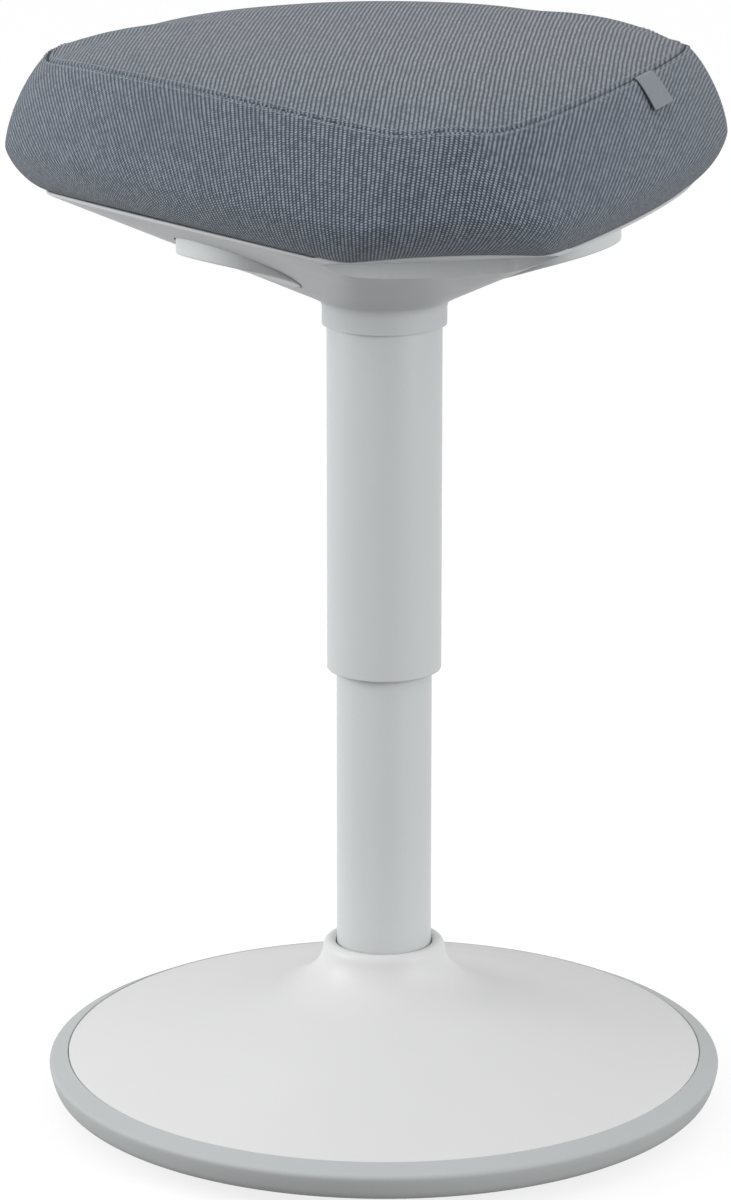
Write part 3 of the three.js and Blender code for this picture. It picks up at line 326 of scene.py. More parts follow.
def mix(first, last, share):
    return tuple(a + (b - a) * share for a, b in zip(first, last))


def point_on(path, turn):
    """The point whose outward direction stands at a turn from the front."""
    radius, lobe, flat, z, dip, wave = path
    lobes = LOBES * turn
    reach = radius + lobe * math.cos(lobes) + flat * math.cos(2 * lobes)
    swing = -LOBES * lobe * math.sin(lobes) - 2 * LOBES * flat * math.sin(2 * lobes)
    x = reach * math.sin(turn) + swing * math.cos(turn)
    y = -reach * math.cos(turn) + swing * math.sin(turn)
    return Vector((x, y, z + dip * math.cos(lobes) + wave * math.cos(2 * lobes)))


def ring_loops(rings, steps):
    return [[point_on(path, turn) for turn in turns(steps)] for path in rings]


def run_to(path, turn):
    """How far it is along a ring from its front to a turn."""
    radius, lobe, flat = path[:3]
    lobes = LOBES * turn
    return (radius * turn - LOBE_BEND * lobe / LOBES * math.sin(lobes)
            - FLAT_BEND * flat / (2 * LOBES) * math.sin(2 * lobes))


def even_points(path, steps):
    """Points at even distances along a ring, so that cloth laid on them keeps its ribs apart."""
    turn = FULL_TURN / (6 * steps)
    out = []
    k = 0
    for i in range(steps):
        wanted = FULL_TURN * path[0] * i / steps
        while run_to(path, (k + 1) * turn) < wanted:
            k += 1
        low = run_to(path, k * turn)
        high = run_to(path, (k + 1) * turn)
        out.append(point_on(path, (k + (wanted - low) / (high - low)) * turn))
    return out


def moved(path, outwards, up):
    """A ring grown evenly and lifted."""
    return ring(path[0] + outwards, path[1], path[2], path[3] + up, path[4], path[5])


def inset(rings, distance):
    """Rings moved square to the surface that they span; a positive distance moves it inwards."""
    out = []
    for i, path in enumerate(rings):
        before = rings[max(i - 1, 0)]
        after = rings[min(i + 1, len(rings) - 1)]
        run = after[0] - before[0]
        rise = after[3] - before[3]
        length = math.hypot(run, rise)
        out.append(moved(path, -distance * rise / length, distance * run / length))
    return out


def rim_path(size):
    return ring(size.rim_mean, size.rim_lobe, size.rim_flat, RIM_Z, RIM_DIP, RIM_WAVE)


def equator_path(size):
    return ring(size.equator_mean, size.equator_lobe, size.equator_flat,
                RIM_Z + size.equator_rise, size.equator_dip, size.equator_wave)


def seam_path(size):
    return ring(size.seam_mean, size.seam_lobe, size.seam_flat,
                RIM_Z + size.equator_rise + size.seam_rise, size.seam_dip, size.seam_wave)


def bulge(foot, top, across, up):
    """A ring between two others, with its own shares of the way across and up."""
    return mix(foot, top, across)[:3] + mix(foot, top, up)[3:]


def side_rings(size, steps):
    """The cover's side from the shell's rim over the widest ring to the seam."""
    foot = moved(rim_path(size), 0.0, COVER_START)
    equator = equator_path(size)
    seam = seam_path(size)
    angles = [(1 - i / steps) * math.pi / 2 for i in range(steps + 1)]
    low = 2 / LOWER_POWER
    high = 2 / UPPER_POWER
    return ([bulge(foot, equator, math.cos(a) ** low, 1 - math.sin(a) ** low) for a in angles]
            + [bulge(equator, seam, 1 - math.sin(a) ** high, math.cos(a) ** high) for a in angles[1:]])


def crown_ring(size, share):
    """A ring of the top panel, at a share of the seam's radius."""
    radius, lobe, flat, z, dip, wave = seam_path(size)
    fade = share ** 4
    z += size.crown_rise * (1 - fade)
    return ring(radius * share, lobe * share, flat * share, z, dip * fade, wave * fade)


# Node helpers

SOCKET_KINDS = {float: "NodeSocketFloat", tuple: "NodeSocketColor", type(None): "NodeSocketVector"}
EFFECT_OUTPUTS = {"Color": tuple, "Roughness": float, "Height": float}


def new_group(name, inputs):
    """A shader node group with named inputs, which puts out a colour, a roughness and a height."""
    group = bpy.data.node_groups.new(name, "ShaderNodeTree")
    for label, value in inputs.items():
        kind = SOCKET_KINDS[type(value)]
        socket = group.interface.new_socket(name=label, in_out="INPUT", socket_type=kind)
        if value is not None:
            socket.default_value = value
    for label, kind in EFFECT_OUTPUTS.items():
        group.interface.new_socket(name=label, in_out="OUTPUT", socket_type=SOCKET_KINDS[kind])
    return group, add(group, "NodeGroupInput").outputs, add(group, "NodeGroupOutput")


def add(tree, kind, **settings):
    node = tree.nodes.new(kind)
    for key, value in settings.items():
        setattr(node, key, value)
    return node


def plug(tree, source, target):
    """Links an output to an input, or sets the input's own value."""
    if isinstance(source, bpy.types.NodeSocket):
        tree.links.new(source, target)
    elif isinstance(source, (int, float)):
        target.default_value = source
    else:
        target.default_value = (*source, 1.0)[:len(target.default_value)]


def plug_all(tree, node, values):
    """Links or sets a node's inputs by name."""
    for name, value in values.items():
        plug(tree, value, node.inputs[name])


def chain(tree, kind, values, **settings):
    """Adds a node, fills its first inputs in order and returns its first output."""
    node = add(tree, kind, **settings)
    for value, socket in zip(values, node.inputs):
        plug(tree, value, socket)
    return node.outputs[0]


def maths(tree, operation, *values):
    return chain(tree, "ShaderNodeMath", values, operation=operation)


def swayed(tree, level, value, amount):
    """A level moved up and down by a value that runs from 0 to 1."""
    return maths(tree, "MULTIPLY_ADD", maths(tree, "SUBTRACT", value, 0.5), amount, level)


def mix_colour(tree, factor, first, second):
    node = add(tree, "ShaderNodeMix", data_type="RGBA")
    for value, socket in ((factor, 0), (first, 6), (second, 7)):
        plug(tree, value, node.inputs[socket])
    return node.outputs[2]


def map_range(tree, value, low, high, to_low=0.0, to_high=1.0, curve="LINEAR"):
    return chain(tree, "ShaderNodeMapRange", (value, low, high, to_low, to_high), interpolation_type=curve)


def noise(tree, vector, scale, detail=2.0, roughness=0.5):
    node = add(tree, "ShaderNodeTexNoise")
    plug_all(tree, node, {"Vector": vector, "Scale": scale, "Detail": detail, "Roughness": roughness})
    return node.outputs["Fac"]


def scaled(tree, vector, scale):
    return chain(tree, "ShaderNodeVectorMath", (vector, scale), operation="MULTIPLY")


def object_place(tree):
    return add(tree, "ShaderNodeTexCoord").outputs["Object"]


def make_moulded_grain():
    """Fine moulded or coated grain: small colour and gloss changes and a height for a bump."""
    group, given, leave = new_group("moulded_grain", {
        "Base": (0.5, 0.5, 0.5, 1.0), "Roughness": 0.5, "Grain Scale": 2500.0, "Cloud": 0.04,
        "Handling": 0.05})
    fine_shade = 0.012
    place = object_place(group)
    fine = noise(group, place, given["Grain Scale"], 3.0, 0.6)
    clouds = noise(group, place, 9.0, 3.0)
    smears = noise(group, scaled(group, place, (1.0, 1.0, 0.35)), 38.0, 4.0, 0.55)
    level = maths(group, "MULTIPLY_ADD", map_range(group, clouds, 0.3, 0.7, -1.0, 1.0), given["Cloud"], 1.0)
    level = maths(group, "MULTIPLY_ADD", map_range(group, fine, 0.3, 0.7, -1.0, 1.0), fine_shade, level)
    toned = add(group, "ShaderNodeVectorMath", operation="SCALE")
    plug_all(group, toned, {0: given["Base"], "Scale": level})
    rubbed = map_range(group, smears, 0.35, 0.7, -0.5, 1.0)
    gloss = maths(group, "MULTIPLY_ADD", rubbed, given["Handling"], given["Roughness"])
    plug_all(group, leave, {"Color": toned.outputs[0], "Roughness": gloss, "Height": fine})
    return group


def make_ribbed_weave():
    """Ribbed weave of light yarn dashes on dark yarn, laid out by the cover's own map in metres."""
    group, given, leave = new_group("ribbed_weave", {
        "Map": None, "Light": (0.3, 0.35, 0.4, 1.0), "Dark": (0.07, 0.08, 0.1, 1.0),
        "Speck": (0.07, 0.04, 0.05, 1.0), "Rib Pitch": 0.00225, "Dash Pitch": 0.0024, "Light Share": 0.5})
    chart = given["Map"]
    split = add(group, "ShaderNodeSeparateXYZ")
    plug(group, chart, split.inputs[0])
    # The ribs wander a little, and each one's dashes start at a place of their own
    across = maths(group, "DIVIDE", split.outputs["X"], given["Rib Pitch"])
    across = swayed(group, across, noise(group, chart, 60.0), 0.5)
    column = maths(group, "FLOOR", across)
    jitter = add(group, "ShaderNodeTexWhiteNoise", noise_dimensions="1D")
    plug(group, column, jitter.inputs["W"])
    stagger = maths(group, "MULTIPLY", maths(group, "MODULO", column, 2.0), 0.5)
    start = maths(group, "MULTIPLY_ADD", jitter.outputs["Value"], 0.22, stagger)
    along = maths(group, "ADD", maths(group, "DIVIDE", split.outputs["Y"], given["Dash Pitch"]), start)
    row = maths(group, "FLOOR", along)
    # A rib is round across, and each dash swells in its middle
    rib, dash = (maths(group, "SINE", maths(group, "MULTIPLY", maths(group, "SUBTRACT", run, cell), math.pi))
                 for run, cell in ((across, column), (along, row)))
    lot = add(group, "ShaderNodeTexWhiteNoise", noise_dimensions="2D")
    plug(group, chain(group, "ShaderNodeCombineXYZ", (column, row, 0.0)), lot.inputs["Vector"])
    fibres = noise(group, scaled(group, chart, (1.0, 0.3, 1.0)), 2600.0, 3.0, 0.6)
    melange = noise(group, scaled(group, chart, (1.0, 0.12, 1.0)), 420.0, 2.0, 0.6)

    def bead(power, swell, rest):
        return maths(group, "MULTIPLY", maths(group, "POWER", rib, power),
                     maths(group, "MULTIPLY_ADD", dash, swell, rest))

    body = bead(0.8, 0.6, 0.42)
    for cause, amount in ((fibres, 0.45), (lot.outputs["Value"], 0.25), (melange, 0.32)):
        body = swayed(group, body, cause, amount)
    threshold = maths(group, "SUBTRACT", 0.72, maths(group, "MULTIPLY", given["Light Share"], 0.6))
    light = map_range(group, body, threshold, 1.0, curve="SMOOTHSTEP")
    speck = map_range(group, noise(group, chart, 900.0, 1.0), 0.60, 0.68, 0.0, 0.7)
    under = mix_colour(group, speck, given["Dark"], given["Speck"])
    plug_all(group, leave, {
        "Color": mix_colour(group, light, under, given["Light"]),
        "Roughness": map_range(group, light, 0.0, 1.0, 0.95, 0.82),
        "Height": swayed(group, bead(0.5, 0.45, 0.55), fibres, 0.25)})
    return group


def effect(tree, name, make_group, values):
    """Places a shared effect in a material with the material's own values; it is built the first time."""
    node = add(tree, "ShaderNodeGroup", node_tree=bpy.data.node_groups.get(name) or make_group())
    plug_all(tree, node, values)
    return node.outputs


def blank_material(name):
    """A material with only a shader and its output."""
    material = bpy.data.materials.new(name)
    material.use_nodes = True
    tree = material.node_tree
    tree.nodes.clear()
    shader = add(tree, "ShaderNodeBsdfPrincipled")
    plug(tree, shader.outputs[0], add(tree, "ShaderNodeOutputMaterial").inputs["Surface"])
    return material, tree, shader


def bump(tree, shader, height, distance):
    node = add(tree, "ShaderNodeBump")
    plug_all(tree, node, {"Strength": 1.0, "Distance": distance, "Height": height})
    plug(tree, node.outputs[0], shader.inputs["Normal"])


# Finishes

def shaded(colour, share):
    return tuple(level * share for level in colour)


def moulded(tree, shader, colour, roughness, grain_scale, depth, cloud, specular=0.5):
    """Moulded plastic, rubber or powder coat."""
    grain = effect(tree, "moulded_grain", make_moulded_grain, {
        "Base": colour, "Roughness": roughness, "Grain Scale": grain_scale, "Cloud": cloud})
    plug_all(tree, shader, {
        "Base Color": grain["Color"], "Roughness": grain["Roughness"], "Specular IOR Level": specular})
    bump(tree, shader, grain["Height"], depth)


def woven(tree, shader, light, dark, speck, rib_pitch, dash_pitch, light_share, depth):
    """A ribbed weave, laid out by the piece's map."""
    chart = add(tree, "ShaderNodeUVMap", uv_map="cloth_map").outputs[0]
    weave = effect(tree, "ribbed_weave", make_ribbed_weave, {
        "Map": chart, "Light": light, "Dark": dark, "Speck": speck, "Rib Pitch": rib_pitch,
        "Dash Pitch": dash_pitch, "Light Share": light_share})
    plug_all(tree, shader, {
        "Base Color": weave["Color"], "Roughness": weave["Roughness"], "Sheen Weight": 0.27,
        "Sheen Roughness": 0.5, "Specular IOR Level": 0.2})
    bump(tree, shader, weave["Height"], depth)


def bare_metal(tree, shader, colour, roughness, stretch, depth):
    """Bare steel or cast iron with fine drawn or cast marks."""
    place = object_place(tree)
    lines = noise(tree, scaled(tree, place, stretch), 900.0, 4.0, 0.6)
    clouds = map_range(tree, noise(tree, place, 60.0, 3.0), 0.35, 0.7)
    plug_all(tree, shader, {
        "Base Color": mix_colour(tree, clouds, shaded(colour, 0.82), colour), "Metallic": 1.0,
        "Roughness": map_range(tree, lines, 0.2, 0.8, roughness * 0.8, roughness * 1.25)})
    bump(tree, shader, lines, depth)


def veneered(tree, shader, colour, veneer=1.4 * MM):
    """Thin veneers seen on edge, with long grain on the faces."""
    place = object_place(tree)
    grain = noise(tree, scaled(tree, place, (1.0, 14.0, 1.0)), 60.0, 6.0, 0.6)
    split = add(tree, "ShaderNodeSeparateXYZ")
    plug(tree, place, split.inputs[0])
    layer = maths(tree, "FLOOR", maths(tree, "DIVIDE", split.outputs["Z"], veneer))
    layer = maths(tree, "MODULO", layer, 2.0)
    tone = chain(tree, "ShaderNodeMath", (layer, 0.35, maths(tree, "MULTIPLY", grain, 0.65)),
                 operation="MULTIPLY_ADD", use_clamp=True)
    plug_all(tree, shader, {
        "Base Color": mix_colour(tree, tone, shaded(colour, 0.6), colour), "Roughness": 0.75})
    bump(tree, shader, grain, 0.2 * MM)


def foamed(tree, shader, colour):
    """Moulded foam with open cells."""
    cells = add(tree, "ShaderNodeTexVoronoi", feature="DISTANCE_TO_EDGE")
    plug_all(tree, cells, {"Vector": object_place(tree), "Scale": 900.0})
    depth = map_range(tree, cells.outputs["Distance"], 0.0, 0.25)
    plug_all(tree, shader, {
        "Base Color": mix_colour(tree, depth, shaded(colour, 0.75), colour), "Roughness": 0.95})
    bump(tree, shader, depth, 0.3 * MM)


def twisted(tree, shader, colour):
    """Twisted sewing thread."""
    strands = noise(tree, object_place(tree), 4200.0)
    plug_all(tree, shader, {
        "Base Color": mix_colour(tree, strands, shaded(colour, 0.6), colour), "Roughness": 0.7,
        "Sheen Weight": 0.2})
    bump(tree, shader, strands, 0.1 * MM)


def finish(name, maker, *values):
    """A named finish; it is made the first time."""
    found = bpy.data.materials.get(f"{name}_finish")
    if found:
        return found
    material, tree, shader = blank_material(f"{name}_finish")
    maker(tree, shader, *values)
    return material


def slot_material(slot_name):
    """The finish of one of the record's material slots."""
    body = bpy.context.scene.stool_body
    cloth = bpy.context.scene.stool_fabric
    finishes = {
        # Colour, roughness, grains in a metre, grain depth, clouding and, if it isn't usual, specular level
        "dish_plastic": (moulded, body.dish, 0.46, 2200.0, 0.02 * MM, 0.012),
        "ring_rubber": (moulded, body.ring, 0.58, 3200.0, 0.03 * MM, 0.02, 0.35),
        "tube_paint": (moulded, body.tube, 0.40, 1500.0, 0.02 * MM, 0.012),
        "shell_plastic": (moulded, body.shell, 0.46, 2200.0, 0.02 * MM, 0.015),
        "paddle_plastic": (moulded, body.paddle, 0.42, 2200.0, 0.02 * MM, 0.012),
        "sole_rubber": (moulded, body.rubber, 0.8, 1800.0, 0.06 * MM, 0.06, 0.3),
        "inner_plastic": (moulded, srgb(48, 50, 52), 0.55, 1800.0, 0.04 * MM, 0.02),
        "black_steel": (moulded, srgb(42, 43, 45), 0.42, 1400.0, 0.03 * MM, 0.02),
        # Colour, roughness, how the marks are stretched and how deep they are
        "bright_steel": (bare_metal, srgb(178, 180, 182), 0.32, (1.0, 1.0, 12.0), 0.02 * MM),
        "ballast_iron": (bare_metal, srgb(92, 92, 94), 0.7, (1.0, 1.0, 1.0), 0.3 * MM),
        "plywood": (veneered, srgb(205, 175, 130)),
        "foam": (foamed, srgb(222, 214, 190)),
        # Light, dark and speck yarn, rib and dash pitch, share of light yarn, depth of the weave
        "label_tape": (woven, cloth.tape, shaded(cloth.tape, 0.72), shaded(cloth.tape, 0.6),
                       0.7 * MM, 0.7 * MM, 0.75, 0.12 * MM),
        "cover_fabric": (woven, cloth.yarn_light, cloth.yarn_dark, cloth.yarn_speck,
                         cloth.rib_pitch, cloth.dash_pitch, 0.5, 0.5 * MM),
    }
    return finish(slot_name, *finishes[slot_name])


# Foot and column

DISH_SEAM = 168.6 * MM
DISH_WALL = 2.6 * MM
DISH_SLOPE = 0.289


def foot_dish_profile():
    """The dish's section: its edge, the flare up to the column, the lip and the hollow under them."""
    low = DISH_LOW.z
    top = DISH_HIGH.z
    edge = low + 13.6 * MM
    shoulder = edge + (DISH_SEAM - 60 * MM) * DISH_SLOPE
    foot = at(60, shoulder)
    flare_top = at(32.6, top, -6)
    lip = at(28.6, top)
    hole = at(25.6, top, -1.8)
    bend = at(36.1, shoulder + (60 - 36.1) * MM * DISH_SLOPE)
    inside = DISH_SEAM - DISH_WALL
    outer = [(DISH_SEAM, low + 10 * MM), (DISH_SEAM, edge - 0.5 * MM)]
    outer += [(DISH_SEAM - 0.5 * MM, edge + 0.05 * MM)] + bezier(foot, bend, flare_top, 22)
    outer += bezier(flare_top, at(32.2, top, 0.2), lip, 8)[1:] + bezier(lip, at(25.7, top, -0.1), hole, 6)[1:]
    inner = [at(25.6, top, -9), at(29, top, -12)]
    inner += bezier(at(30, top, -13), at(33.4, shoulder, 5.4), (60 * MM, shoulder - DISH_WALL), 14)
    return outer + inner + [(inside, edge - DISH_WALL + 0.7 * MM), (inside, low + 10 * MM)]


def rim_ring_profile():
    """The rim ring's section: its foot, its rounded outside and the step that the dish lies on."""
    low = RIM_LOW.z
    high = RIM_HIGH.z
    widest = high - 6.4 * MM
    toe = at(172.6, low, 0.7)
    side = at(177.0, widest, -7.4)
    outside = at(178.9, widest)
    profile = [at(160.6, low, 1.6), at(168.3, low, 2.9), at(168.4, low, 0.1)]
    profile += bezier(toe, at(175.6, low, 1.6), side, 6)
    profile += bezier(side, at(178.7, widest, -2.2), outside, 8)[1:]
    profile += bezier(outside, at(178.9, widest, 1.9), at(177.2, widest, 2.6), 8)[1:]
    return profile + [at(173.0, high, -2.0), at(169.5, high, -0.2), at(169.1, high, -0.35),
                      at(168.9, high, -0.8), at(168.9, high, -3.9), at(160.6, high, -3.9)]


def make_foot():
    finish_piece(lathe("foot_dish", foot_dish_profile(), 160), "base", "dish_plastic", "base_dish")
    finish_piece(lathe("foot_rim_ring", rim_ring_profile(), 160), "base", "ring_rubber", "rim_ring")


def tube(name, low, high, radius, wall, edge):
    """A round tube with rounded ends; its sizes across are in millimetres."""
    corners = [at(radius, low), at(radius, high), at(radius - wall, high), at(radius - wall, low)]
    return lathe(name, rounded(corners, edge * MM), 96)


def make_column():
    low = TUBE_LOW.z
    inner = tube("column_inner_tube", low, TUBE_HIGH.z, 25, 2, 0.6)
    plate = [at(5.4, low, 15.4), at(22.9, low, 15.4), at(22.9, low, 18.4), at(5.4, low, 18.4)]
    plate = lathe("column_foot_plate", plate, 48)
    plate.parent = inner
    plate.data.materials.append(slot_material("tube_paint"))
    finish_piece(inner, "base", "tube_paint", "column_tube")
    sleeve = tube("column_outer_sleeve", SLEEVE_LOW.z, SLEEVE_HIGH.z, 30, 2, 1)
    finish_piece(sleeve, "seat", "tube_paint", "outer_sleeve")


def make_hardware():
    """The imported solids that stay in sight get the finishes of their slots."""
    slots = {row["node"]: row["material_slot"] for row in frame["record"]["subparts"]}
    for name, node in NODES.items():
        node.data.materials.clear()
        node.data.materials.append(slot_material(slots[name]))


# Shell and paddles, sizes in metres

LEVER_TURN = math.radians(60)
RIM_MIDDLE = 151.5 * MM
PADDLE_ROOT = 62 * MM
PADDLE_TIP = RIM_MIDDLE - 26.5 * MM
PADDLE_HALF = 31 * MM
PADDLE_SKEW = 0.22
PADDLE_FLARE = 9 * MM
PADDLE_SKIN = 2.5 * MM
PADDLE_EDGE = 1.2 * MM
WINDOW_GAP = 1 * MM
RIB_COUNT = 12
RIB_HALF = 1 * MM
# No rib stands within this turn of a lever
LEVER_ROOM = math.radians(21)
NECK_BEND = 2.2 * MM
RECESS_REACH = 128 * MM
RECESS_RADIUS = 82 * MM
RECESS_DEPTH = 7.8 * MM
RECESS_SLOPE = 0.25
SHELL_STEPS = 192
OUTLINE_STEPS = 96
# Under the seat board, the screw posts and what stands between them end this much lower
POST_GAP = 0.3 * MM
RIB_GAP = 0.4 * MM


def to_seat(side, reach, across, z):
    """A place in the seat from its reach along a paddle's middle line and its step across that line."""
    from_front = side * LEVER_TURN - math.pi / 2
    cosine = math.cos(from_front)
    sine = math.sin(from_front)
    return Vector((reach * cosine - across * sine, reach * sine + across * cosine, z))


def funnel_z(reach):
    share = (reach - HUB_RADIUS) / (RIM_MIDDLE - HUB_RADIUS)
    return HUB_Z + share * (FUNNEL_RISE - RIM_DIP + RIM_WAVE)


def paddle_z(reach):
    """The paddle's outer face leaves the funnel towards its tip."""
    share = max(0.0, (reach - PADDLE_ROOT) / (PADDLE_TIP - PADDLE_ROOT))
    return funnel_z(reach) - PADDLE_FLARE * share ** 1.8


def leaf_point(angle, scale, grow=0.0):
    """A point of the paddle's egg outline, moved in by scale or out by grow."""
    middle = (PADDLE_ROOT + PADDLE_TIP) / 2
    half = (PADDLE_TIP - PADDLE_ROOT) / 2 + grow
    width = (PADDLE_HALF + grow) * (1 + PADDLE_SKEW * math.cos(angle))
    return middle + scale * half * math.cos(angle), scale * width * math.sin(angle)


def paddle_mesh(name, side):
    """The paddle: a curved leaf with a rounded edge, a rim and a hollow back."""
    # What each row follows, its scale, how far it stands out and how far it is lifted
    rows = [(paddle_z, scale, 0.0, 0.0) for scale in (0.12, 0.3, 0.5, 0.68, 0.82, 0.92)]
    for angle in turns(16)[:5]:
        rows.append((paddle_z, 1.0, PADDLE_EDGE * (math.sin(angle) - 1), PADDLE_EDGE * (1 - math.cos(angle))))
    rows += [(funnel_z, 1.0, 0.0, 1.3 * MM), (funnel_z, 1.0, -0.4 * MM, 1.5 * MM),
             (funnel_z, 1.0, -PADDLE_SKIN, 1.5 * MM), (paddle_z, 1.0, -PADDLE_SKIN - 0.2 * MM, PADDLE_SKIN)]
    rows += [(paddle_z, scale, 0.0, PADDLE_SKIN) for scale in (0.8, 0.5, 0.2)]
    loops = []
    for level, scale, grow, lift in rows:
        outline = [leaf_point(angle, scale, grow) for angle in turns(OUTLINE_STEPS)]
        loops.append([to_seat(side, reach, across, level(reach) + lift) for reach, across in outline])
    return loft(name, loops, sharp_angle=math.radians(50))


def window_cutter(side):
    """What a paddle's window takes out of the shell."""
    outline = [leaf_point(angle, 1.0, WINDOW_GAP) for angle in turns(OUTLINE_STEPS)]
    low, high = ([to_seat(side, *spot, z) for spot in outline] for z in (HUB_Z - 20 * MM, HUB_Z + 100 * MM))
    return prism("window", low, high)


def funnel_rings(size, top):
    """The shell's outer face from the neck's foot over the funnel to the rim, and the rings on top of it."""
    hub = ring(HUB_RADIUS, 0, 0, HUB_Z)
    rim = rim_path(size)
    rings = [ring(NECK_RADIUS, 0, 0, SHELL_LOW.z)]
    # The neck turns into the funnel by a small bend
    for out, down in ((0, 2.6), (0.1, 1.9), (0.45, 1.1), (1.1, 0.45)):
        rings.append(ring(NECK_RADIUS + out * NECK_BEND, 0, 0, HUB_Z - down * NECK_BEND))
    rings += [mix(hub, rim, share) for share in (0.03, 0.12, 0.25, 0.4, 0.55, 0.7, 0.85, 0.985)]
    return rings + [moved(rim, -0.2 * MM, 0.1 * MM), moved(rim, 0.0, 0.5 * MM)] + top


def above_funnel(size, gap):
    """Everything above the shell's outer face, up to a gap under the seat board."""
    top = [ring(size.rim_mean, size.rim_lobe, size.rim_flat, BOARD_LOW.z - gap)]
    return loft("above_funnel", ring_loops(funnel_rings(size, top), SHELL_STEPS))


def shell_mesh(size):
    """The shell's wall, with the web inside it that sits over the sleeve."""
    rim = rim_path(size)
    lip = [moved(rim, 0.0, RIM_LIP - 0.4 * MM), moved(rim, -0.4 * MM, RIM_LIP)]
    web_low = SLEEVE_HIGH.z + 0.3 * MM
    web_high = web_low + 3 * MM
    # The wall is as thick as this straight up, because the funnel slopes
    upright = SHELL_WALL * 1.15
    low = mix(ring(HUB_RADIUS, 0, 0, HUB_Z), rim, (web_high - HUB_Z - upright) / FUNNEL_RISE)
    inside = moved(rim, -SHELL_WALL, 0.0)
    hollow = [moved(inside, 0.0, RIM_LIP), moved(inside, 0.0, upright / 2), ring(*low[:3], web_high)]
    bore = 30.3 * MM
    hole = 19.6 * MM
    web = [ring(hole, 0, 0, web_high), ring(hole, 0, 0, web_low), ring(bore, 0, 0, web_low)]
    rings = funnel_rings(size, lip) + hollow + web + [ring(bore, 0, 0, SHELL_LOW.z)]
    return loft("shell_moulding", ring_loops(rings, SHELL_STEPS), joined=True)


def recess_cutter(name, size, margin):
    """The shallow recess at the shell's front, or with a margin the wall behind it."""
    near = margin - RECESS_REACH
    curve = RECESS_RADIUS + margin
    rim_front = size.rim_mean + size.rim_lobe + size.rim_flat
    front_share = (RECESS_REACH - HUB_RADIUS) / (rim_front - HUB_RADIUS)
    roof = HUB_Z + (FUNNEL_RISE + RIM_DIP + RIM_WAVE) * front_share + RECESS_DEPTH + margin
    low = []
    high = []
    for turn in turns(OUTLINE_STEPS):
        x = curve * math.cos(turn)
        y = near - curve + curve * math.sin(turn)
        low.append((x, y, HUB_Z - 10 * MM))
        high.append((x, y, roof + (near - y) * RECESS_SLOPE))
    return prism(name, low, high)


def shell_ribs():
    """Thin upright ribs from the shell's hub outwards, clear of the levers."""
    points = []
    faces = []
    for turn in turns(RIB_COUNT):
        if abs(abs(math.remainder(turn, FULL_TURN)) - LEVER_TURN) < LEVER_ROOM:
            continue
        out = Vector((math.sin(turn), -math.cos(turn), 0))
        side = Vector((math.cos(turn), math.sin(turn), 0)) * RIB_HALF
        base = len(points)
        for z in (HUB_Z, TRAY_LOW.z - 4 * MM):
            for reach in (HUB_RADIUS, (HUB_RADIUS + RIM_MIDDLE) / 2):
                points += [out * reach - side + Vector((0, 0, z)), out * reach + side + Vector((0, 0, z))]
        quads = ((0, 1, 3, 2), (4, 6, 7, 5), (0, 4, 5, 1), (2, 3, 7, 6), (0, 2, 6, 4), (1, 5, 7, 3))
        faces += [tuple(base + i for i in quad) for quad in quads]
    return mesh_piece("shell_ribs", points, faces)


def post(name, spot, radius, low, high):
    """An upright round post or bore; its radius is in millimetres."""
    made = lathe(name, [(0.0, low), at(radius, low), at(radius, high), (0.0, high)], 32)
    for vert in made.data.vertices:
        vert.co += Vector((spot.x, spot.y, 0.0))
    return made


def add_screw_posts(shell, size):
    """Posts with bores for the screws that hold the seat board."""
    top = BOARD_LOW.z
    for name in NODES:
        if name.startswith("shell_screw_"):
            low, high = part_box(name)
            spot = (low + high) / 2
            body = post("screw_post", spot, 6, HUB_Z, top - POST_GAP)
            boolean(body, above_funnel(size, POST_GAP), "INTERSECT")
            boolean(shell, body, "UNION")
            boolean(shell, post("head_room", spot, 3.9, HUB_Z, low.z + 0.3 * MM), "DIFFERENCE")
            boolean(shell, post("screw_bore", spot, 2.3, HUB_Z, top + 2 * MM), "DIFFERENCE")


def make_shell():
    size = bpy.context.scene.stool_cushion
    shell = shell_mesh(size)
    for inner in (shell_ribs(), recess_cutter("recess_wall", size, SHELL_WALL)):
        boolean(inner, above_funnel(size, RIB_GAP), "INTERSECT")
        boolean(shell, inner, "UNION")
    boolean(shell, recess_cutter("recess", size, 0.0), "DIFFERENCE")
    add_screw_posts(shell, size)
    for side in (-1, 1):
        boolean(shell, window_cutter(side), "DIFFERENCE")
    modify(shell, "BEVEL", width=0.5 * MM, segments=2, limit_method="ANGLE", angle_limit=math.radians(50))
    shell.data.shade_smooth()
    shell.data.set_sharp_from_angle(angle=math.radians(35))
    finish_piece(shell, "seat", "shell_plastic", "seat_shell")


def make_paddles():
    for side, word in ((-1, "left"), (1, "right")):
        paddle = paddle_mesh(f"paddle_{word}_moulding", side)
        finish_piece(paddle, f"lever_{word}", "paddle_plastic", f"paddle_{word}")


# Cushion, sizes in metres

COVER_STEPS = 240
COVER_THICK = 1.2 * MM
SIDE_ROWS = 18
CROWN_SHARES = (1.0, 0.9955, 0.987, 0.972, 0.95, 0.925, 0.89, 0.85, 0.79, 0.72, 0.64, 0.55, 0.46, 0.36,
                0.26, 0.16, 0.07)
WEAVE_TURN = math.radians(15.3)
BAND_GATHER = 0.97
# The padding lies this deep under the cover before it swells
PAD_DEPTH = 2.5 * MM
PAD_HELD = 6 * MM
PAD_CLOTH = {"vertex_group_mass": "held", "use_pressure": True, "uniform_pressure_force": 4.0,
             "tension_stiffness": 40.0, "compression_stiffness": 40.0, "bending_stiffness": 4.0, "quality": 5}
SWELL_FRAMES = 20
